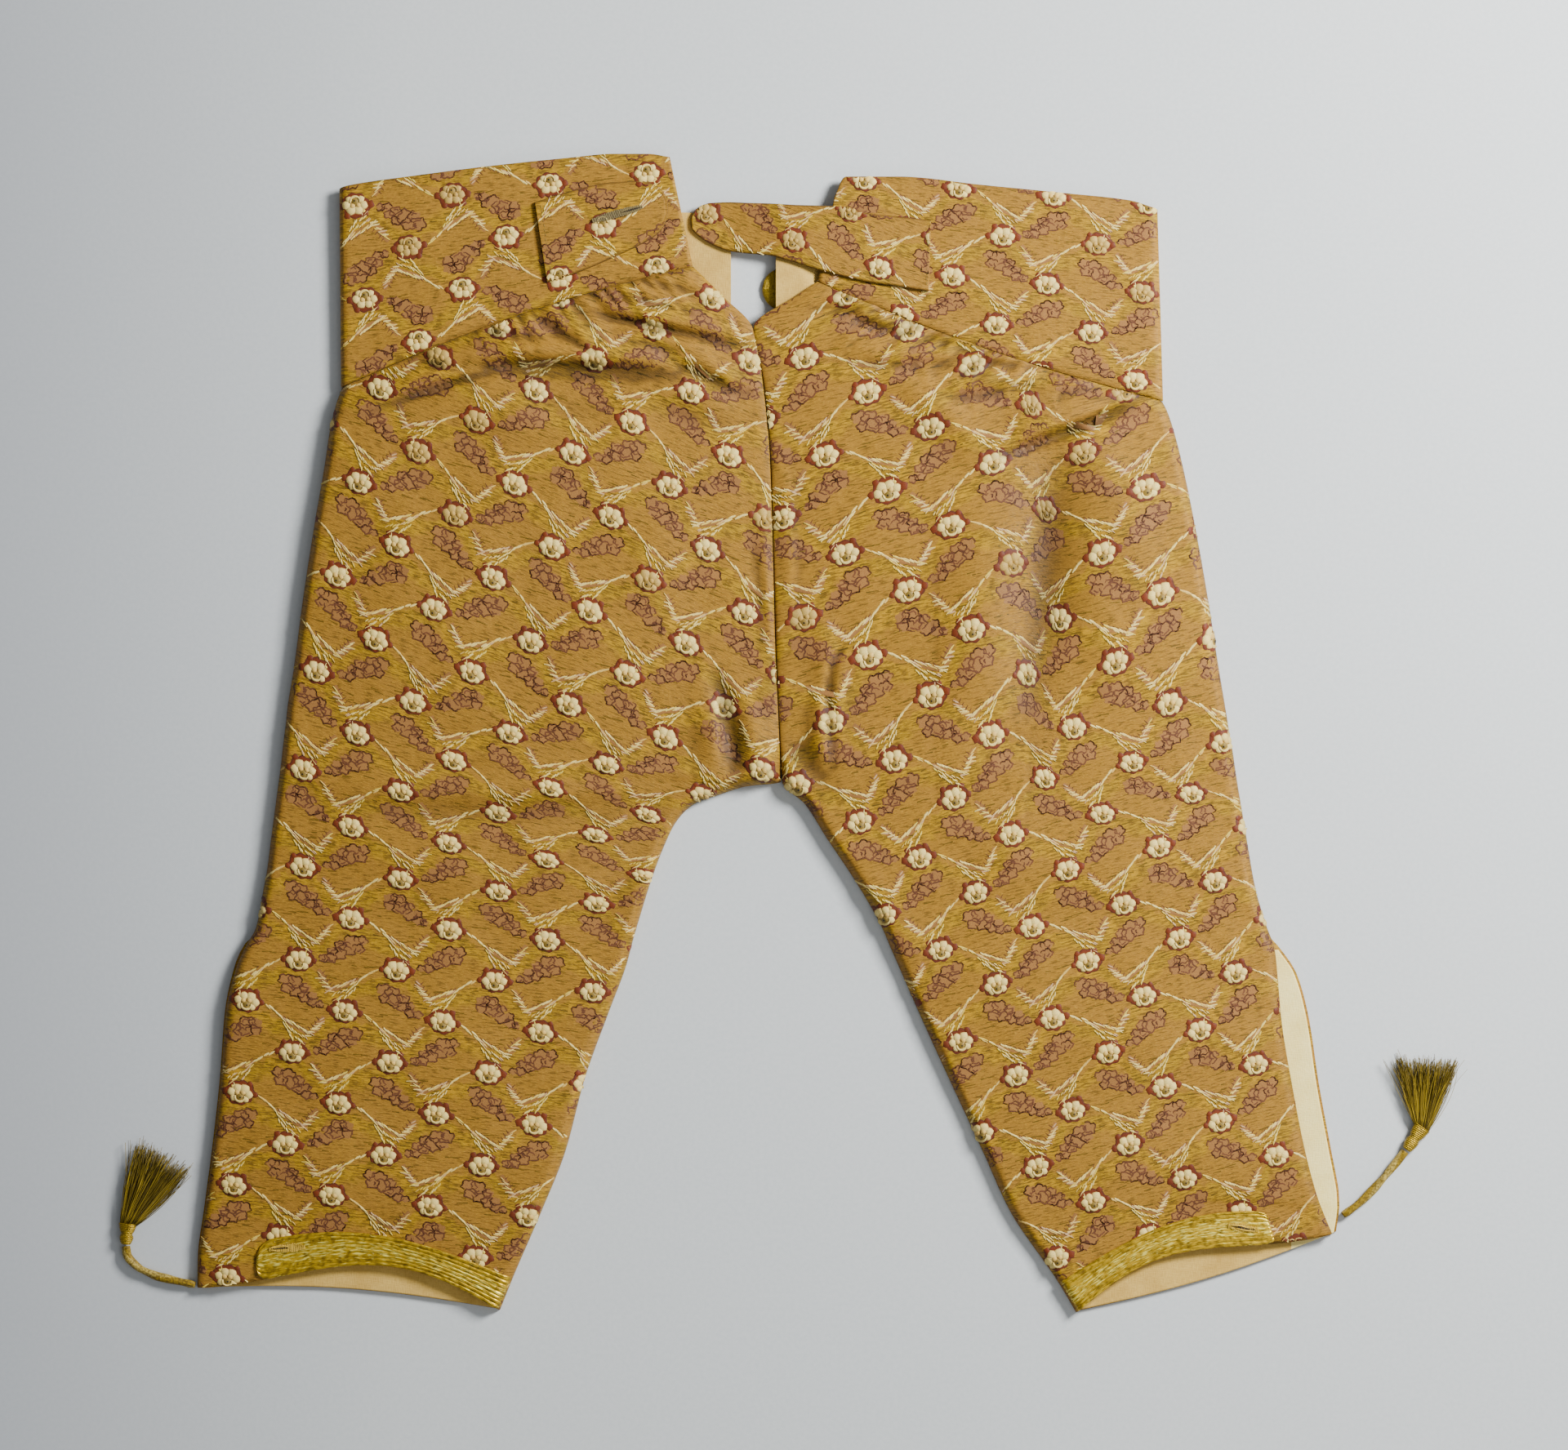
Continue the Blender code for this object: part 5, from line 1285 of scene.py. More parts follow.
def lining_material(name, base, dark):
    """Plain weave of undyed linen, a little stained."""
    material, tree, shader = new_material(name, 0.85, sheen=0.02)
    place = node(tree, "ShaderNodeTexCoord").outputs["Object"]
    warp = noise(tree, place, 1.0, (2200.0, 260.0, 1.0), 2.0)
    weft = noise(tree, place, 1.0, (260.0, 2200.0, 1.0), 2.0)
    stain = noise(tree, place, 60.0, detail=4.0)
    weave = maths(tree, "ADD", warp, weft)
    colour = mixed(tree, ramped(tree, stain, 0.4, 0.75, (0.0, 0.6)), base, dark)
    colour = mixed(tree, ramped(tree, weave, 0.85, 1.2, (0.0, 0.4)), colour, dark)
    tree.links.new(colour, shader.inputs["Base Color"])
    bumped(tree, shader, weave, 0.0003)
    return material


def gold_material(name, base, bright, dark, stretch, middle=None):
    """Metal thread with painted glints and tarnish, painted shade where the glints are low, and more painted glints
    about a middle line.
    """
    material, tree, shader = new_material(name, 0.36, metallic=0.6, specular=0.5)
    uv = node(tree, "ShaderNodeUVMap", uv_map="cloth").outputs["UV"]
    glint = noise(tree, uv, 1.0, stretch, 3.0)
    if middle is not None:
        across = node(tree, "ShaderNodeSeparateXYZ", {"Vector": uv}).outputs["Y"]
        away = maths(tree, "ABSOLUTE", maths(tree, "SUBTRACT", across, middle))
        glint = maths(tree, "ADD", glint, ramped(tree, away, 3.0, 6.0, (0.07, -0.05)))
    tarnish = noise(tree, uv, 0.3, detail=4.0)
    colour = mixed(tree, ramped(tree, tarnish, 0.46, 0.66, (0.0, 0.75)), base, dark)
    colour = mixed(tree, ramped(tree, glint, 0.56, 0.68, (0.0, 0.9)), colour, bright)
    # Where the glint noise is low the thread darkens: painted shade, as in grooves
    colour = mixed(tree, ramped(tree, glint, 0.46, 0.3, (0.0, 0.75)), colour, dark)
    tree.links.new(colour, shader.inputs["Base Color"])
    bumped(tree, shader, glint, 0.0005)
    return material


def plain_thread_material(name, base, dark, scale, roughness=0.6):
    """Thread seen as a mass, with lighter and darker strands."""
    material, tree, shader = new_material(name, roughness, sheen=0.03)
    place = node(tree, "ShaderNodeTexCoord").outputs["Object"]
    strand = noise(tree, place, scale, detail=3.0)
    colour = mixed(tree, ramped(tree, strand, 0.35, 0.65), base, dark)
    tree.links.new(colour, shader.inputs["Base Color"])
    bumped(tree, shader, strand, 0.0003)
    return material


BROCADE = brocade_material("brocade_ochre")
THREAD = thread_material()
LINING = lining_material("linen_lining", (216, 178, 92), (174, 134, 56))
LINING_PALE = lining_material("linen_facing", (255, 236, 156), (236, 208, 112))
GOLD_BRAID = gold_material(
    "gold_braid_thread", (200, 162, 24), (255, 236, 104), (98, 74, 2), (0.2, 1.1, 1.0), middle=9.5,
)
GOLD_WIND = gold_material("gold_winding", (158, 128, 14), (228, 194, 48), (82, 62, 2), (1.6, 1.6, 1.0))
SILVER_PLY = plain_thread_material("silver_ply", (182, 158, 74), (104, 84, 22), 900.0)
GOLD_PLY = plain_thread_material("gold_ply", (150, 122, 16), (92, 70, 4), 900.0)
TASSEL_THREAD = plain_thread_material("tassel_thread", (118, 104, 40), (64, 54, 18), 700.0, 0.5)
FLOOR = None


def ride(obj, slot, *nodes):
    """A piece rides on the one body and stands for its solids; its slot is not used."""
    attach(obj, "root")
    if nodes:
        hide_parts(*nodes)
    return obj


def add_camera():
    """Camera straight above, with the photograph's frame on the middle of the cloth's height."""
    data = bpy.data.cameras.new("camera")
    data.sensor_fit = "HORIZONTAL"
    data.sensor_width = SENSOR_MM
    data.lens = SENSOR_MM * CAMERA_HEIGHT * 1000 / (PHOTO_WIDTH_PX * MM_PER_PX)
    data.clip_end = 20.0
    camera = bpy.data.objects.new("camera", data)
    x, y = plan(PHOTO_CENTRE_PX) + MOVE[:2]
    camera.location = (x * MM, y * MM, CAMERA_HEIGHT + MEAN_CLOTH_HEIGHT)
    bpy.context.scene.collection.objects.link(camera)
    bpy.context.scene.camera = camera


def smooth_route(route, step):
    """Points at even steps along a smooth curve through the points of a route."""
    route = np.array(route, float)
    known = np.concatenate([[0], np.cumsum(np.linalg.norm(np.diff(route, axis=0), axis=1))])
    tangent = np.gradient(route, known, axis=0)
    count = max(3, round(known[-1] / step) + 1)
    at = np.linspace(0, known[-1], count)
    i = np.clip(np.searchsorted(known, at, side="right") - 1, 0, len(known) - 2)
    h = (known[i + 1] - known[i])[:, None]
    t = (at - known[i])[:, None] / h
    a = route[i] * (1 + 2 * t) * (1 - t) ** 2 + route[i + 1] * t * t * (3 - 2 * t)
    return a + h * (tangent[i] * t * (1 - t) ** 2 - tangent[i + 1] * t * t * (1 - t))


PLY_PITCH = 46.0
CORD_SIDES = 28


CORD_TAPER = 0.72


def add_tie_cord(name, route, node_name):
    """A two-ply cord: a pale ply and a gold ply laid round each other."""
    line = smooth_route(route, 1.0)
    line = np.concatenate([line, np.full((len(line), 1), CORD_HEIGHT)], axis=1)
    along = np.gradient(line, axis=0)
    along /= np.linalg.norm(along, axis=1)[:, None]
    side = np.cross(along, (0, 0, 1))
    up = np.array([0.0, 0.0, 1.0])
    far = np.concatenate([[0], np.cumsum(np.linalg.norm(np.diff(line, axis=0), axis=1))])
    points = []
    radius = CORD_DIAMETER / 2
    for centre, across, run in zip(line, side, far):
        twist = 2 * math.pi * run / PLY_PITCH + 0.5
        for k in range(CORD_SIDES):
            angle = 2 * math.pi * k / CORD_SIDES
            lobe = abs(math.cos(angle - twist))
            strand = 1 + 0.05 * math.cos(9 * (angle - twist) + run * 1.6)
            whole = CORD_TAPER + (1 - CORD_TAPER) * min(1.0, run / 3.0)
            reach = radius * (0.76 + 0.25 * lobe ** 1.5) * strand * whole
            points.append(centre + across * (reach * math.cos(angle)) + up * (reach * math.sin(angle)))
    rings = len(line)
    faces = []
    gold = []
    for i in range(rings - 1):
        twist = 2 * math.pi * far[i] / PLY_PITCH + 0.5
        for k in range(CORD_SIDES):
            m = (k + 1) % CORD_SIDES
            faces.append((i * CORD_SIDES + k, i * CORD_SIDES + m, (i + 1) * CORD_SIDES + m, (i + 1) * CORD_SIDES + k))
            gold.append(int(math.cos(2 * math.pi * (k + 0.5) / CORD_SIDES - twist) > 0))
    faces.append(tuple(range(CORD_SIDES)))
    faces.append(tuple((rings - 1) * CORD_SIDES + k for k in range(CORD_SIDES)))
    gold += [0, 0]
    points = np.array(points)
    points[:, 2] = np.maximum(points[:, 2], 0.1)
    cord = add_mesh(name, points, faces, SILVER_PLY)
    cord.data.materials.append(GOLD_PLY)
    cord.data.polygons.foreach_set("material_index", gold)
    ride(cord, "cord", node_name)
    return cord


HEAD = (
    ("along", "half_width", "half_height"),
    (0.0, 2.4, 2.1),
    (0.12, 3.2, 2.6),
    (0.35, 3.8, 2.8),
    (0.5, 3.1, 2.4),
    (0.65, 4.0, 2.8),
    (1.0, 5.0, 2.9),
)
HEAD_TURNS = 15
STRANDS = 420
STRAND_STEPS = 7


def add_tassel(name, start, head_end, skirt_end, half_fan, seed, node_name):
    """A head wound with gold thread, and a full skirt of fine strands."""
    start, head_end, skirt_end = (np.array([*p, TASSEL_HEIGHT]) for p in (start, head_end, skirt_end))
    up = np.array([0.0, 0.0, 1.0])
    run = head_end - start
    axis = run / np.linalg.norm(run)
    across = np.cross(axis, up)
    columns, *rows = HEAD
    head = named(columns, rows)
    rings, sides = 6 * HEAD_TURNS, 22
    shares = np.linspace(0, 1, rings)
    width = smooth(shares, head["along"], head["half_width"])
    height = smooth(shares, head["along"], head["half_height"])
    points = []
    uv = []
    for share, w, h in zip(shares, width, height):
        for k in range(sides):
            angle = 2 * math.pi * k / sides
            wound = 1 + 0.055 * math.cos(2 * math.pi * HEAD_TURNS * share + angle)
            place = start + run * share + across * (w * wound * math.cos(angle)) + up * (h * wound * math.sin(angle))
            points.append(place)
            uv.append((share * 40, k))
    faces = []
    for i in range(rings - 1):
        for k in range(sides):
            m = (k + 1) % sides
            faces.append((i * sides + k, i * sides + m, (i + 1) * sides + m, (i + 1) * sides + k))
    faces.append(tuple(range(sides)))
    faces.append(tuple((rings - 1) * sides + k for k in range(sides)))
    points = np.array(points)
    points[:, 2] = np.maximum(points[:, 2], 0.2)
    wound = add_mesh(name + "_head", points, faces, GOLD_WIND, uv=np.array(uv))
    ride(wound, "gold_thread")
    random = np.random.default_rng(seed)
    skirt = skirt_end - head_end
    fan = np.cross(skirt / np.linalg.norm(skirt), up)
    points, faces, colours = [], [], []
    for _ in range(STRANDS):
        a, b = random.uniform(-1, 1), random.uniform(-1, 1)
        spread = np.sign(a) * abs(a) ** 1.15
        stray = random.uniform() < 0.08
        root = head_end - axis * 1.5 + across * (a * 4.2) + up * (b * 2.2 * math.sqrt(1 - 0.8 * a * a))
        long = random.normal(0.95, 0.06)
        tip = head_end + skirt * long + fan * (half_fan * (spread * (1.4 if stray else 0.98)))
        tip[2] = TASSEL_HEIGHT + b * (2.6 if not stray else 1.2) - 0.3
        bend = fan * random.normal(0, 1.4) + up * random.uniform(-0.4, 0.8)
        waver = random.uniform(0, 6.28)
        thick = random.uniform(0.16, 0.27)
        tone = random.uniform(0.0, 1.0)
        colour = linear((58, 44, 2)) * (1 - tone) + linear((164, 138, 26)) * tone
        first = len(points)
        for i in range(STRAND_STEPS + 1):
            share = i / STRAND_STEPS
            centre = root + (tip - root) * share + skirt * (0.05 * share * (1 - share)) + bend * (4 * share * (1 - share))
            centre = centre + fan * (0.35 * math.sin(5 * share + waver) * share)
            r = thick * (1 - 0.35 * share)
            for k in range(3):
                angle = 2 * math.pi * k / 3 + waver
                points.append(centre + fan * (r * math.cos(angle)) + up * (r * math.sin(angle)))
                # Strands darken towards their tips: painted shade at the ends of the skirt
                colours.append(colour * (1 - 0.45 * share ** 3))
        for i in range(STRAND_STEPS):
            for k in range(3):
                m = (k + 1) % 3
                low, high = first + 3 * i, first + 3 * i + 3
                faces.append((low + k, low + m, high + m, high + k))
        faces.append((first, first + 1, first + 2))
        faces.append((first + 3 * STRAND_STEPS + 2, first + 3 * STRAND_STEPS + 1, first + 3 * STRAND_STEPS))
    points = np.array(points)
    points[:, 2] = np.maximum(points[:, 2], 0.15)
    strands = add_mesh(name + "_skirt", points, faces, TASSEL_SKIRT, colours=np.array(colours))
    ride(strands, "tassel", node_name)
    return wound, strands


def skirt_material():
    """Silk strands in the colours of their mesh."""
    material, tree, shader = new_material("tassel_strands", 0.45, sheen=0.03)
    colour = node(tree, "ShaderNodeVertexColor", layer_name="thread").outputs["Color"]
    tree.links.new(colour, shader.inputs["Base Color"])
    return material


TASSEL_SKIRT = skirt_material()


def add_back(side, rows, shift, place, shaded):
    """A back panel with its gathers, folds and pattern."""
    grid, known, painted_shade = back_grid(rows, shift, [*FOLDS, *creases()])
    normals = grid_normals(grid)
    inside = grid - normals * BACK_WALL
    inside[..., 2] = np.maximum(inside[..., 2], 0.0)
    grid[..., 2] = np.maximum(grid[..., 2], 0.0)
    # The panel and its pattern threads carry the painted shade
    panel = add_shell("brocade_back_" + side, grid, inside, BROCADE, pattern_uv(grid[..., :2], place), painted_shade)
    ride(panel, "brocade", "back_" + side)
    pattern = embroider("pattern_back_" + side, grid, place, THREAD, shaded, painted_shade=painted_shade)
    ride(pattern, "brocade")
    return grid, known


# Width of the pale facing inside the right slit
SLIT_FACING_WIDTH = 24.0


def front_points(table, top_rows, hem_bow, slit, shift, inset, first):
    """Plan grid of a front panel or of its lining, from a section number down to the hem."""
    top = named(FRONT_COLUMNS, top_rows)
    kept = {key: values[FRONTS_MEET:] for key, values in table.items()}
    merged = {key: np.concatenate([top[key], kept[key]]) for key in FRONT_COLUMNS}
    added = len(top_rows)
    reach = np.concatenate([np.zeros(added), kept["reach"]])
    outer = np.stack([merged["outer_x"], merged["outer_y"]], axis=1)
    inner = np.stack([merged["inner_x"] + shift, merged["inner_y"]], axis=1)
    below_slit = np.arange(len(outer)) - added + FRONTS_MEET > slit
    outer_inset = np.where(below_slit, inset - FRONT_INSET - reach, inset)
    inner_inset = np.where(np.arange(len(outer)) - added + FRONTS_MEET < CROTCH, 0.0, inset)
    inner_inset[CROTCH + added - FRONTS_MEET] += CROTCH_INSET
    placed_outer = moved_in(outer, inner, outer_inset)
    placed_outer[0] = outer[0]
    placed_inner = moved_in(inner, outer, inner_inset)
    places = np.linspace(0, 1, FRONT_PARTS + 1)[None]
    points = placed_outer[:, None] + (placed_inner - placed_outer)[:, None] * places[..., None]
    bow = np.zeros(len(outer))
    bow[-1] = hem_bow
    bow[-2] = hem_bow * 0.6
    points[..., 1] += bow[:, None] * np.sin(math.pi * places)
    start = 0 if first is None else first - FRONTS_MEET + added
    return points[start:]


def moved_in(edge, toward, distance):
    """An edge moved square to itself by a distance, to the side where the points of toward lie."""
    along = np.gradient(edge, axis=0)
    square = np.stack([-along[:, 1], along[:, 0]], axis=1)
    square /= np.linalg.norm(square, axis=1)[:, None]
    sign = np.sign((square * (toward - edge)).sum(axis=1))
    return edge + square * (sign * distance)[:, None]


def add_front(side, rows, top_rows, hem_bow, slit, shift):
    """A front panel, pattern side down, and the knee lining that lies inside it."""
    table = named(SECTION_COLUMNS, rows)
    coarse = front_points(table, top_rows, hem_bow, slit, shift, FRONT_INSET, None)
    place = simple_place(FRONT_LATTICE_PX)
    flat_grid = np.concatenate([coarse, np.zeros(coarse.shape[:2] + (1,))], axis=2)
    grid = refined_grid(flat_grid, np.linspace(0, 1, 90), np.linspace(0, 1, 44))
    under, over = grid.copy(), grid.copy()
    under[..., 2] = UNDERSIDE
    over[..., 2] = FRONT_WALL
    panel = add_shell("brocade_front_" + side, under, over, BROCADE, pattern_uv(grid[..., :2], place))
    ride(panel, "brocade", "front_" + side)
    pattern = embroider("pattern_front_" + side, under, place, THREAD, flatten=0.2, up=-1, motifs=PLAIN_MOTIFS)
    ride(pattern, "brocade")
    plan_grid = front_points(table, top_rows, hem_bow, slit, shift, KNEE_LINING_INSET, slit + 1)
    flat_grid = np.concatenate([plan_grid, np.zeros(plan_grid.shape[:2] + (1,))], axis=2)
    grid = refined_grid(flat_grid, edged(60), edged(60))
    over, under = grid.copy(), grid.copy()
    pucker = 0.12 * np.sin(grid[..., 1] / 2.6) * np.sin(grid[..., 0] / 9.0)
    over[..., 2] = KNEE_LINING_BASE + LINING_WALL + pucker
    under[..., 2] = KNEE_LINING_BASE
    lining = add_shell("linen_knee_" + side, over, under, LINING, grid[..., :2] / REPEAT_ACROSS)
    if side == "right":
        lining.data.materials.append(LINING_PALE)
        outer = np.abs(over[:, :, 0] - over[:, :1, 0])
        near = (outer[:-1, :-1] + outer[1:, 1:]) / 2 < SLIT_FACING_WIDTH
        index = np.zeros(len(lining.data.polygons), int)
        index[: near.size] = near.ravel()
        lining.data.polygons.foreach_set("material_index", index)
    ride(lining, "lining", "lining_knee_" + side)


def seam_height(table, x):
    """Height along Y of a back panel's waist seam at a place along X."""
    outer_x, inner_x = table["outer_x"][0], table["inner_x"][0]
    share = np.clip((x - outer_x) / (inner_x - outer_x), 0, 1)
    straight = table["outer_y"][0] + (table["inner_y"][0] - table["outer_y"][0]) * share
    return straight + table["bow"][0] * np.sin(math.pi * share)


def button_lift(x, y):
    """How far the button lifts the cloth that lies on it."""
    away = math.hypot(x - BUTTON_X, y - BUTTON_Y)
    share = (away - BUTTON_LIFT_INNER) / (BUTTON_LIFT_OUTER - BUTTON_LIFT_INNER)
    share = min(max(share, 0.0), 1.0)
    return BUTTON_LIFT * (1 - share * share * (3 - 2 * share))


def front_seam_height(seam, x):
    """Height along Y of a front panel's waist seam at a place along X."""
    ends = sorted(seam)
    return float(np.interp(x, [end[0] for end in ends], [end[1] for end in ends]))


def waist_grids(back_rows, front_rows, side_fold, table, front_seam, lift):
    """The outer and inner faces of a waistband half, from centre back round the side to centre front."""
    down = np.linspace(0, 1, WAIST_ROWS)
    fold = dict(zip(SIDE_FOLD_COLUMNS, side_fold))
    outward = math.copysign(1.0, fold["seam_x"])
    outer, inner = [], []
    for top_x, top_y, seam_x, height in back_rows:
        seam_y = float(seam_height(table, seam_x)) + SEAM_GAP
        line = [(top_x + (seam_x - top_x) * d, top_y + (seam_y - top_y) * d) for d in down]
        outer.append([(x, y, height) for x, y in line])
        inner.append([(x, y, height - WAIST_WALL) for x, y in line])
    for angle in SIDE_FOLD_ANGLES:
        a = math.radians(angle)
        top_y = fold["back_top_y"] + (fold["front_top_y"] - fold["back_top_y"]) * angle / 180.0
        for grid, radius in ((outer, SIDE_FOLD_RADIUS), (inner, SIDE_FOLD_RADIUS - WAIST_WALL)):
            out = outward * radius * math.sin(a)
            seam_x = fold["seam_x"] + out
            seam_y = float(seam_height(table, seam_x)) + SEAM_GAP
            if angle == 180.0:
                seam_y = front_seam_height(front_seam, seam_x)
            run = fold["seam_x"] - fold["top_x"]
            z = SIDE_FOLD_RADIUS + radius * math.cos(a)
            grid.append([(fold["top_x"] + out + run * d, top_y + (seam_y - top_y) * d, z) for d in down])
    for top_x, top_y, seam_x, _ in front_rows:
        seam_y = front_seam_height(front_seam, seam_x)
        line = [(top_x + (seam_x - top_x) * d, top_y + (seam_y - top_y) * d) for d in down]
        outer.append([(x, y, lift(x, y)) for x, y in line])
        inner.append([(x, y, lift(x, y) + WAIST_WALL) for x, y in line])
    return np.array(outer), np.array(inner)


def add_waistband(side, back_rows, front_rows, fold, rows, seam, lift, place, stations, shaded):
    """A waistband half and the lining beside its front edge."""
    outer, inner = waist_grids(back_rows, front_rows, fold, named(SECTION_COLUMNS, rows), seam, lift)
    around, down = np.linspace(0, 1, 190), edged(30)
    face, inside = refined_grid(outer, around, down), refined_grid(inner, around, down)
    under = face[..., 2] < UNDERSIDE
    face[..., 2] = np.where(under, UNDERSIDE, face[..., 2])
    top = eased(face[..., 2], 4.5, 6.0)
    edge = np.minimum(down, 1 - down)[None]
    soft = ripple(face[..., :2]) * 0.6 * np.clip(edge * 12, 0, 1)
    face[..., 2] += top * (soft - 0.5 * np.exp(-edge * 90))
    drop = np.linalg.norm(face[:, 0] - face[:, -1], axis=1)[:, None]
    # Painted shade along the seam at the foot of the waistband and along its top edge
    painted_shade = 0.25 * np.exp(-(((1 - down)[None] * drop / PAINTED_SHADE_SEAM_WIDTH) ** 2))
    painted_shade = painted_shade + 0.3 * np.exp(-((down[None] * drop / PAINTED_SHADE_SEAM_WIDTH) ** 2))
    uv = pattern_uv(face[..., :2], place)
    band = add_shell("brocade_waistband_" + side, face, inside, BROCADE, uv, painted_shade)
    ride(band, "brocade", "waistband_" + side)
    upper = int(len(around) * 0.53)
    pattern = embroider("pattern_waistband_" + side, face[:upper], place, THREAD, shaded)
    ride(pattern, "brocade")
    part = inner[-stations:]
    grid = refined_grid(part, edged(24), edged(30))
    over, lower = grid.copy(), grid.copy()
    over[..., 2] += REST_GAP + LINING_WALL
    lower[..., 2] += REST_GAP
    lining = add_shell("linen_waist_" + side, over, lower, LINING, grid[..., :2] / REPEAT_ACROSS)
    ride(lining, "lining", "lining_waist_" + side)
    return face


# Painted shade along the edges of a strap or tab: its most and its width
TAB_EDGE_PAINTED_SHADE = 0.75
TAB_EDGE_WIDTH = 0.9


def add_tab(name, rows, place, node_name, shaded):
    """A strap or tab with a round tip and turned edges."""
    table = named(TAB_COLUMNS, rows)
    upper = np.stack([table["upper_x"], table["upper_y"], table["base"]], axis=1)
    lower = np.stack([table["lower_x"], table["lower_y"], table["base"]], axis=1)
    share = np.linspace(0, 1, 5)[None, :, None]
    coarse = upper[:, None] + (lower - upper)[:, None] * share
    along, across = edged(70), edged(30, (0.01, 0.03, 0.06))
    base = refined_grid(coarse, along, across)
    edge_down = np.minimum(across, 1 - across)[None] * np.linalg.norm(base[:, 0] - base[:, -1], axis=1)[:, None]
    length = np.linalg.norm(coarse[0, 2] - coarse[-1, 2])
    edge_along = (1 - along)[:, None] * length
    edge = np.minimum(edge_down, edge_along)
    face = base.copy()
    face[..., 2] += STRAP_WALL - 0.7 * (1 - rolled(edge, 1.6)) - 0.25 * np.exp(-(((edge - 3.0) / 0.7) ** 2))
    face[..., 2] += 0.25 * ripple(base[..., :2]) * np.clip(edge / 5, 0, 1)
    # Painted shade along the turned edges
    painted_shade = TAB_EDGE_PAINTED_SHADE * np.exp(-((edge / TAB_EDGE_WIDTH) ** 2))
    made = add_shell(name, face, base, BROCADE, pattern_uv(base[..., :2], place), painted_shade)
    ride(made, "brocade", node_name)
    pattern = embroider("pattern_" + name, face, place, THREAD, shaded)
    ride(pattern, "brocade")
    return face


BRAID_RIBS = 8
BRAID_FROM_SIDE = {"left": 31.5, "right": 31.0}
BRAID_END_SHARE = {"left": 0.32, "right": 0.78}


BRAID_ROUND = 8.5


def add_braid(side, grid, known, from_side):
    """Gold braid along the back hem: ribs of metal thread, with its outer end rounded."""
    first = known[-2]
    rows = np.linspace(first, 1, 8 * BRAID_RIBS + 1) * (len(grid) - 1)
    low = np.clip(rows.astype(int), 0, len(grid) - 2)
    part = grid[low] + (grid[low + 1] - grid[low]) * (rows - low)[:, None, None]
    reach = np.abs(part[:, :, 0] - part[:, :1, 0]).mean(axis=0)
    start = int(np.searchsorted(reach, from_side))
    part = part[:, start:-3]
    normals = grid_normals(part)
    along = np.concatenate([[0], np.cumsum(np.linalg.norm(np.diff(part[len(part) // 2], axis=0), axis=1))])
    end = BRAID_END_SHARE[side]
    drawn_in = end + (1 - end) * np.sqrt(1 - (1 - np.clip(along / BRAID_ROUND, 0, 1)) ** 2)
    middle = part.mean(axis=0)[None]
    part = middle + (part - middle) * drawn_in[None, :, None]
    share = np.linspace(0, 1, len(part))[:, None]
    rib = np.abs(np.sin(math.pi * BRAID_RIBS * share)) ** 0.7
    knots = 0.12 * np.sin(along[None] * 2.4 + 3 * share * BRAID_RIBS)
    face = part + normals * (REST_GAP + BRAID_WALL - 0.45 + 0.45 * rib + knots * rib)[..., None]
    back = part + normals * REST_GAP
    uv = np.stack([np.broadcast_to(along, share.shape[:1] + along.shape), share * 19.0 + 0 * along[None]], axis=2)
    braid = add_shell("braid_gold_" + side, face, back, GOLD_BRAID, uv)
    ride(braid, "gold_braid", "braid_" + side)
    return face, along


def add_button():
    """A button mould wound with gold thread in four quarters."""
    profile = np.array(BUTTON_PROFILE)
    run = np.concatenate([[0], np.cumsum(np.linalg.norm(np.diff(profile, axis=0), axis=1))])
    shares = np.linspace(0, run[-1], 40)
    radius = smooth(shares, run, profile[:, 0])[1:-1]
    height = smooth(shares, run, profile[:, 1])[1:-1]
    sides = 96
    points = []
    uv = []
    for r, h in zip(radius, height):
        for k in range(sides):
            angle = 2 * math.pi * k / sides
            across = r * math.cos(angle) if (k // 24) % 2 else r * math.sin(angle)
            wound = 0.14 * math.cos(across * 6.5) * (h > 1.0)
            points.append((BUTTON_X + r * math.cos(angle), BUTTON_Y + r * math.sin(angle), h + wound))
            uv.append((across * 3, r))
    faces = []
    for i in range(len(radius) - 1):
        for k in range(sides):
            m = (k + 1) % sides
            faces.append((i * sides + k, i * sides + m, (i + 1) * sides + m, (i + 1) * sides + k))
    faces.append(tuple(range(sides)))
    faces.append(tuple((len(radius) - 1) * sides + k for k in range(sides)))
    button = add_mesh("button_wound", points, faces, GOLD_WIND, uv=np.array(uv))
    ride(button, "gold_thread", "button_waist")


def add_floor():
    """A plain pale board, wider than any view of the breeches, with painted shade towards its left."""
    mesh = bpy.data.meshes.new("floor")
    size = 6.0
    mesh.from_pydata([(-size, -size, 0), (size, -size, 0), (size, size, 0), (-size, size, 0)], [], [(0, 1, 2, 3)])
    material, tree, shader = new_material("pale_board", 0.9)
    place = node(tree, "ShaderNodeTexCoord").outputs["Object"]
    fleck = noise(tree, place, 420.0, detail=3.0)
    colour = mixed(tree, ramped(tree, fleck, 0.35, 0.65, (0.0, 0.5)), (207, 211, 211), (196, 202, 203))
    # The board darkens towards the left: painted shade, as the light falls off away from the key on the right
    across = node(tree, "ShaderNodeSeparateXYZ", {"Vector": place}).outputs["X"]
    colour = mixed(tree, ramped(tree, across, -0.2, -0.5, (0.0, 0.6)), colour, (150, 153, 162))
    tree.links.new(colour, shader.inputs["Base Color"])
    mesh.materials.append(material)
    floor = bpy.data.objects.new("floor", mesh)
    bpy.context.scene.collection.objects.link(floor)


def add_light(name, place, size, power):
    """A square soft light that faces the middle of the garment."""
    data = bpy.data.lights.new(name, "AREA")
    data.size = size
    data.energy = power
    light = bpy.data.objects.new(name, data)
    light.location = place
    light.rotation_euler = (-Vector(place)).to_track_quat("-Z", "Y").to_euler()
    bpy.context.scene.collection.objects.link(light)


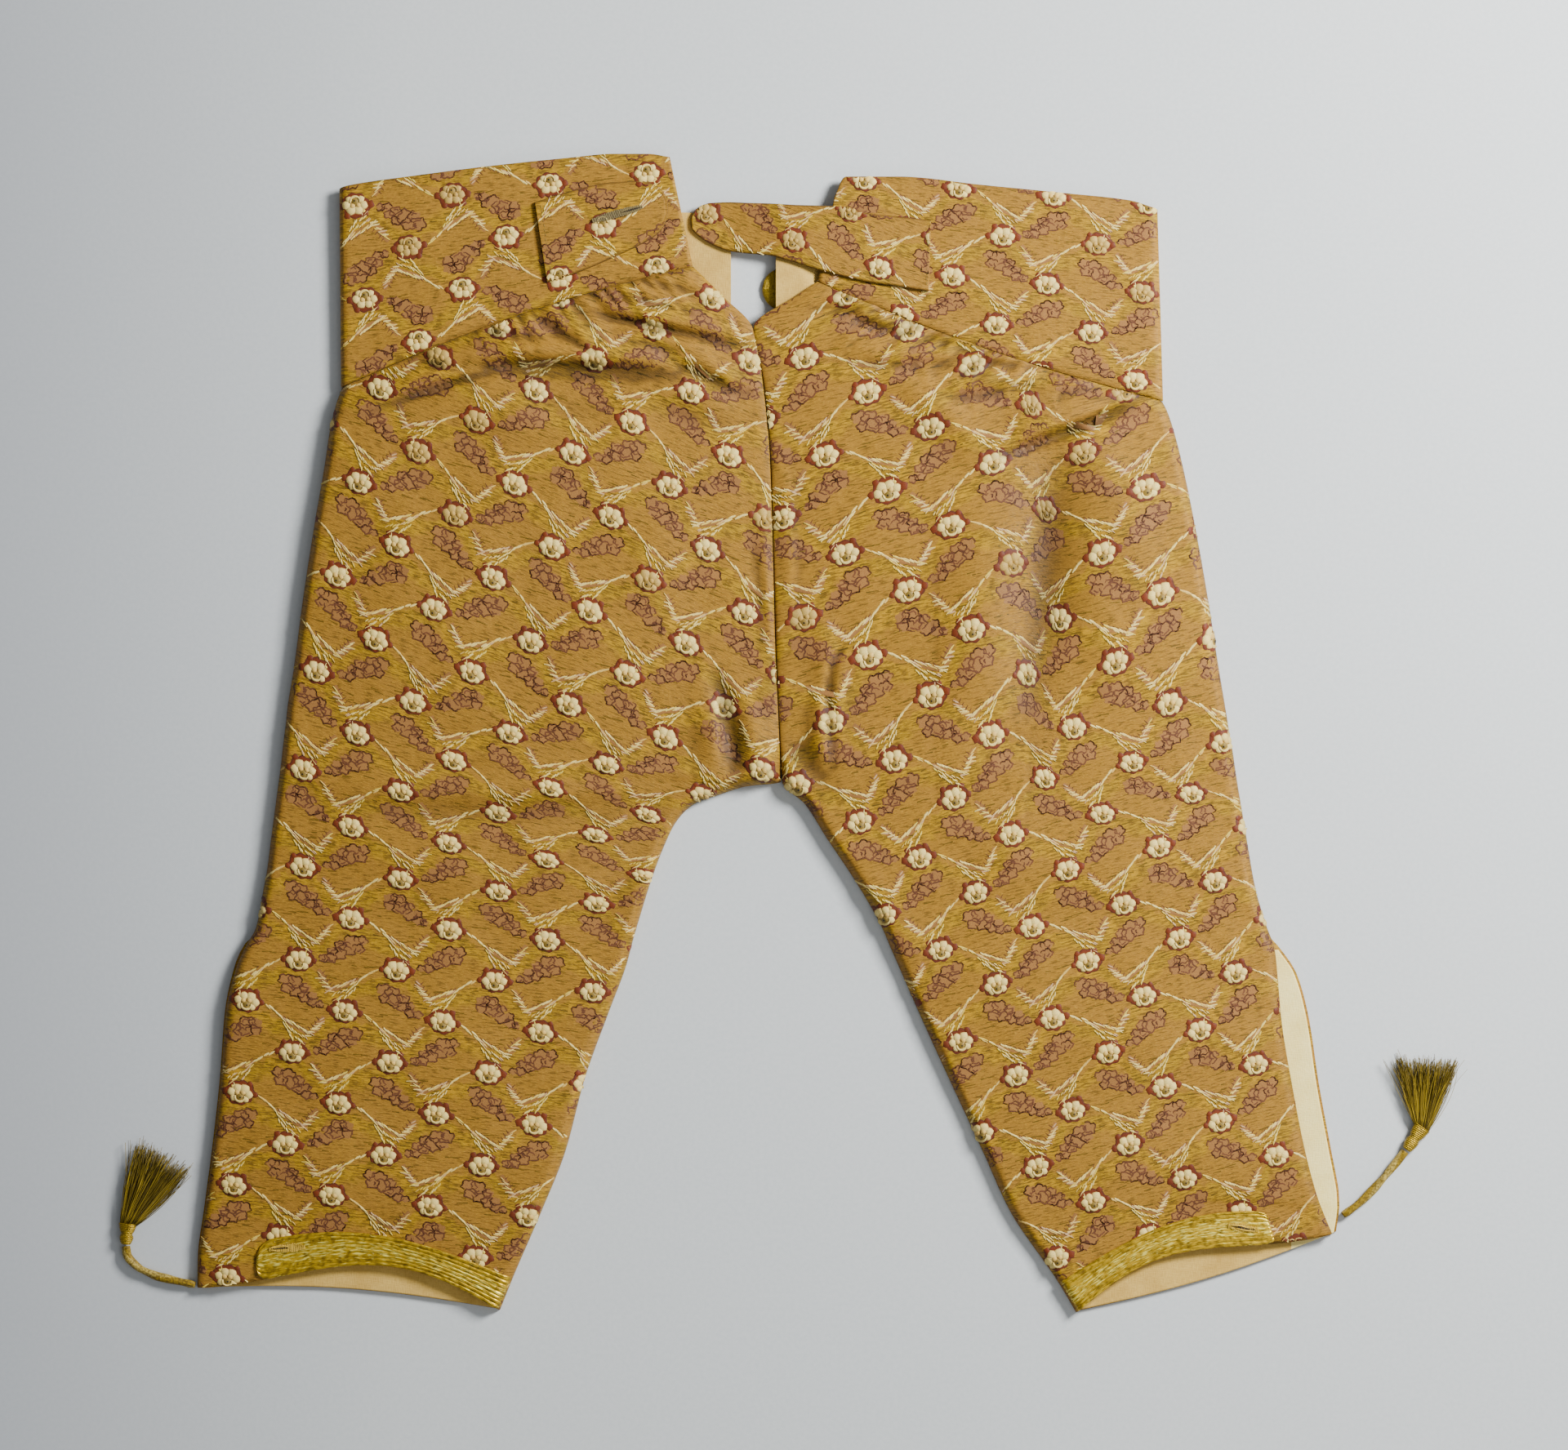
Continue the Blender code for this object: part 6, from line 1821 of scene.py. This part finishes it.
def add_lights():
    """Soft studio light, strongest from the right, and a pale surround."""
    add_light("key", (1.2, 0.75, 1.0), 0.5, 76.0)
    add_light("fill", (0.9, -1.0, 1.5), 1.4, 8.0)
    world = bpy.data.worlds.new("surround")
    world.use_nodes = True
    background = world.node_tree.nodes["Background"]
    background.inputs["Color"].default_value = (0.93, 0.96, 1.0, 1.0)
    background.inputs["Strength"].default_value = 0.26
    bpy.context.scene.world = world


# Flowers whose petals are drawn beige: duller thread, and in the valley of the right seat painted shade as well
SHADED_LEFT_PX = (
    (530, 560), (557, 635), (565, 462), (790, 710), (925, 632), (501, 495), (592, 522), (511, 410), (748, 392),
)
SHADED_RIGHT_PX = (
    (1243, 508), (1268, 610), (1232, 685), (1342, 565), (1390, 492), (1403, 465), (998, 765),
    (1298, 531), (1321, 628), (1265, 722), (1300, 645), (1238, 790),
)
SHADED_STRAP_PX = ((865, 262), (937, 252), (971, 302), (1050, 287))
SHADED_WAIST_LEFT_PX = ((554, 231), (506, 294))
SHADED_WAIST_RIGHT_PX = ((1345, 297), (1403, 358))


# Worked buttonholes and rows of stitches, from one pixel of the photograph to another
TAB_HOLE_PX = ((725, 271), (789, 253))
BRAID_HOLE_LEFT_PX = ((329, 1530), (377, 1527))
BRAID_HOLE_RIGHT_PX = ((1541, 1507), (1503, 1501))
STRAP_STITCHES_PX = ((1137, 276), (1134, 352))
TAB_STITCHES_PX = ((662, 252), (676, 342))


def add_buttonhole(name, grid, ends, length, half_width, slit, lift, thread, slot, seed):
    """One worked buttonhole on a surface, lifted over what lies under it."""
    d = Drawing(seed)
    draw_buttonhole(d, length, half_width, slit, thread)
    d.points = [(x, y, height + lift) for x, y, height in d.points]
    lay_on(name, d, grid, *ends, THREAD, slot)


def add_stitch_row(name, grid, ends, length, seed):
    """One row of stitches on a surface."""
    d = Drawing(seed)
    draw_stitches(d, length, 2.6, 1.7, "hollow")
    lay_on(name, d, grid, *ends, THREAD, "brocade")


def main():
    add_camera()
    for side, tassel, seed in (("left", TASSEL_LEFT, 3), ("right", TASSEL_RIGHT, 4)):
        add_tassel("tassel_threads_" + side, *tassel, seed, "tassel_" + side)
    for side, route in (("left", CORD_LEFT), ("right", CORD_RIGHT)):
        add_tie_cord("tie_" + side, route, "tie_cord_" + side)
    left, known_left = add_back("left", BACK_LEFT, -CENTRE_GAP, place_left, SHADED_LEFT_PX)
    right, known_right = add_back("right", BACK_RIGHT, CENTRE_GAP, place_right, SHADED_RIGHT_PX)
    add_front("left", BACK_LEFT, FRONT_TOP_LEFT, FRONT_HEM_BOW_LEFT, SLIT_LEFT, -CENTRE_GAP)
    add_front("right", BACK_RIGHT, FRONT_TOP_RIGHT, FRONT_HEM_BOW_RIGHT, SLIT_RIGHT, CENTRE_GAP)
    add_waistband("left", WAIST_BACK_LEFT, WAIST_FRONT_LEFT, SIDE_FOLD_LEFT, BACK_LEFT, FRONT_SEAM_LEFT,
                  lambda x, y: 0.0, simple_place(WAIST_LEFT_PX), WAIST_LINING_STATIONS_LEFT,
                  SHADED_WAIST_LEFT_PX)
    add_waistband("right", WAIST_BACK_RIGHT, WAIST_FRONT_RIGHT, SIDE_FOLD_RIGHT, BACK_RIGHT, FRONT_SEAM_RIGHT,
                  button_lift, simple_place(WAIST_RIGHT_PX), WAIST_LINING_STATIONS_RIGHT,
                  SHADED_WAIST_RIGHT_PX)
    strap = add_tab("strap", STRAP, simple_place(STRAP_PX), "strap_right", SHADED_STRAP_PX)
    tab = add_tab("tab", TAB, simple_place(WAIST_LEFT_PX), "tab_left", ())
    add_stitch_row("stitches_strap", strap, STRAP_STITCHES_PX, 34.0, 11)
    add_stitch_row("stitches_tab", tab, TAB_STITCHES_PX, 39.0, 12)
    add_buttonhole("buttonhole_tab", tab, TAB_HOLE_PX, 29.0, 2.1, (17.0, 28.0), 1.0, "grey", "brocade", 13)
    hem_left, _ = add_braid("left", left, known_left, BRAID_FROM_SIDE["left"])
    hem_right, _ = add_braid("right", right, known_right, BRAID_FROM_SIDE["right"])
    add_buttonhole("buttonhole_left", hem_left, BRAID_HOLE_LEFT_PX, 20.0, 2.2, (1.5, 11.0), 0.35, "gold", "gold_braid", 14)
    add_buttonhole("buttonhole_right", hem_right, BRAID_HOLE_RIGHT_PX, 17.0, 2.2, (2.0, 15.0), 0.35, "gold", "gold_braid", 15)
    add_button()
    add_floor()
    add_lights()


main()
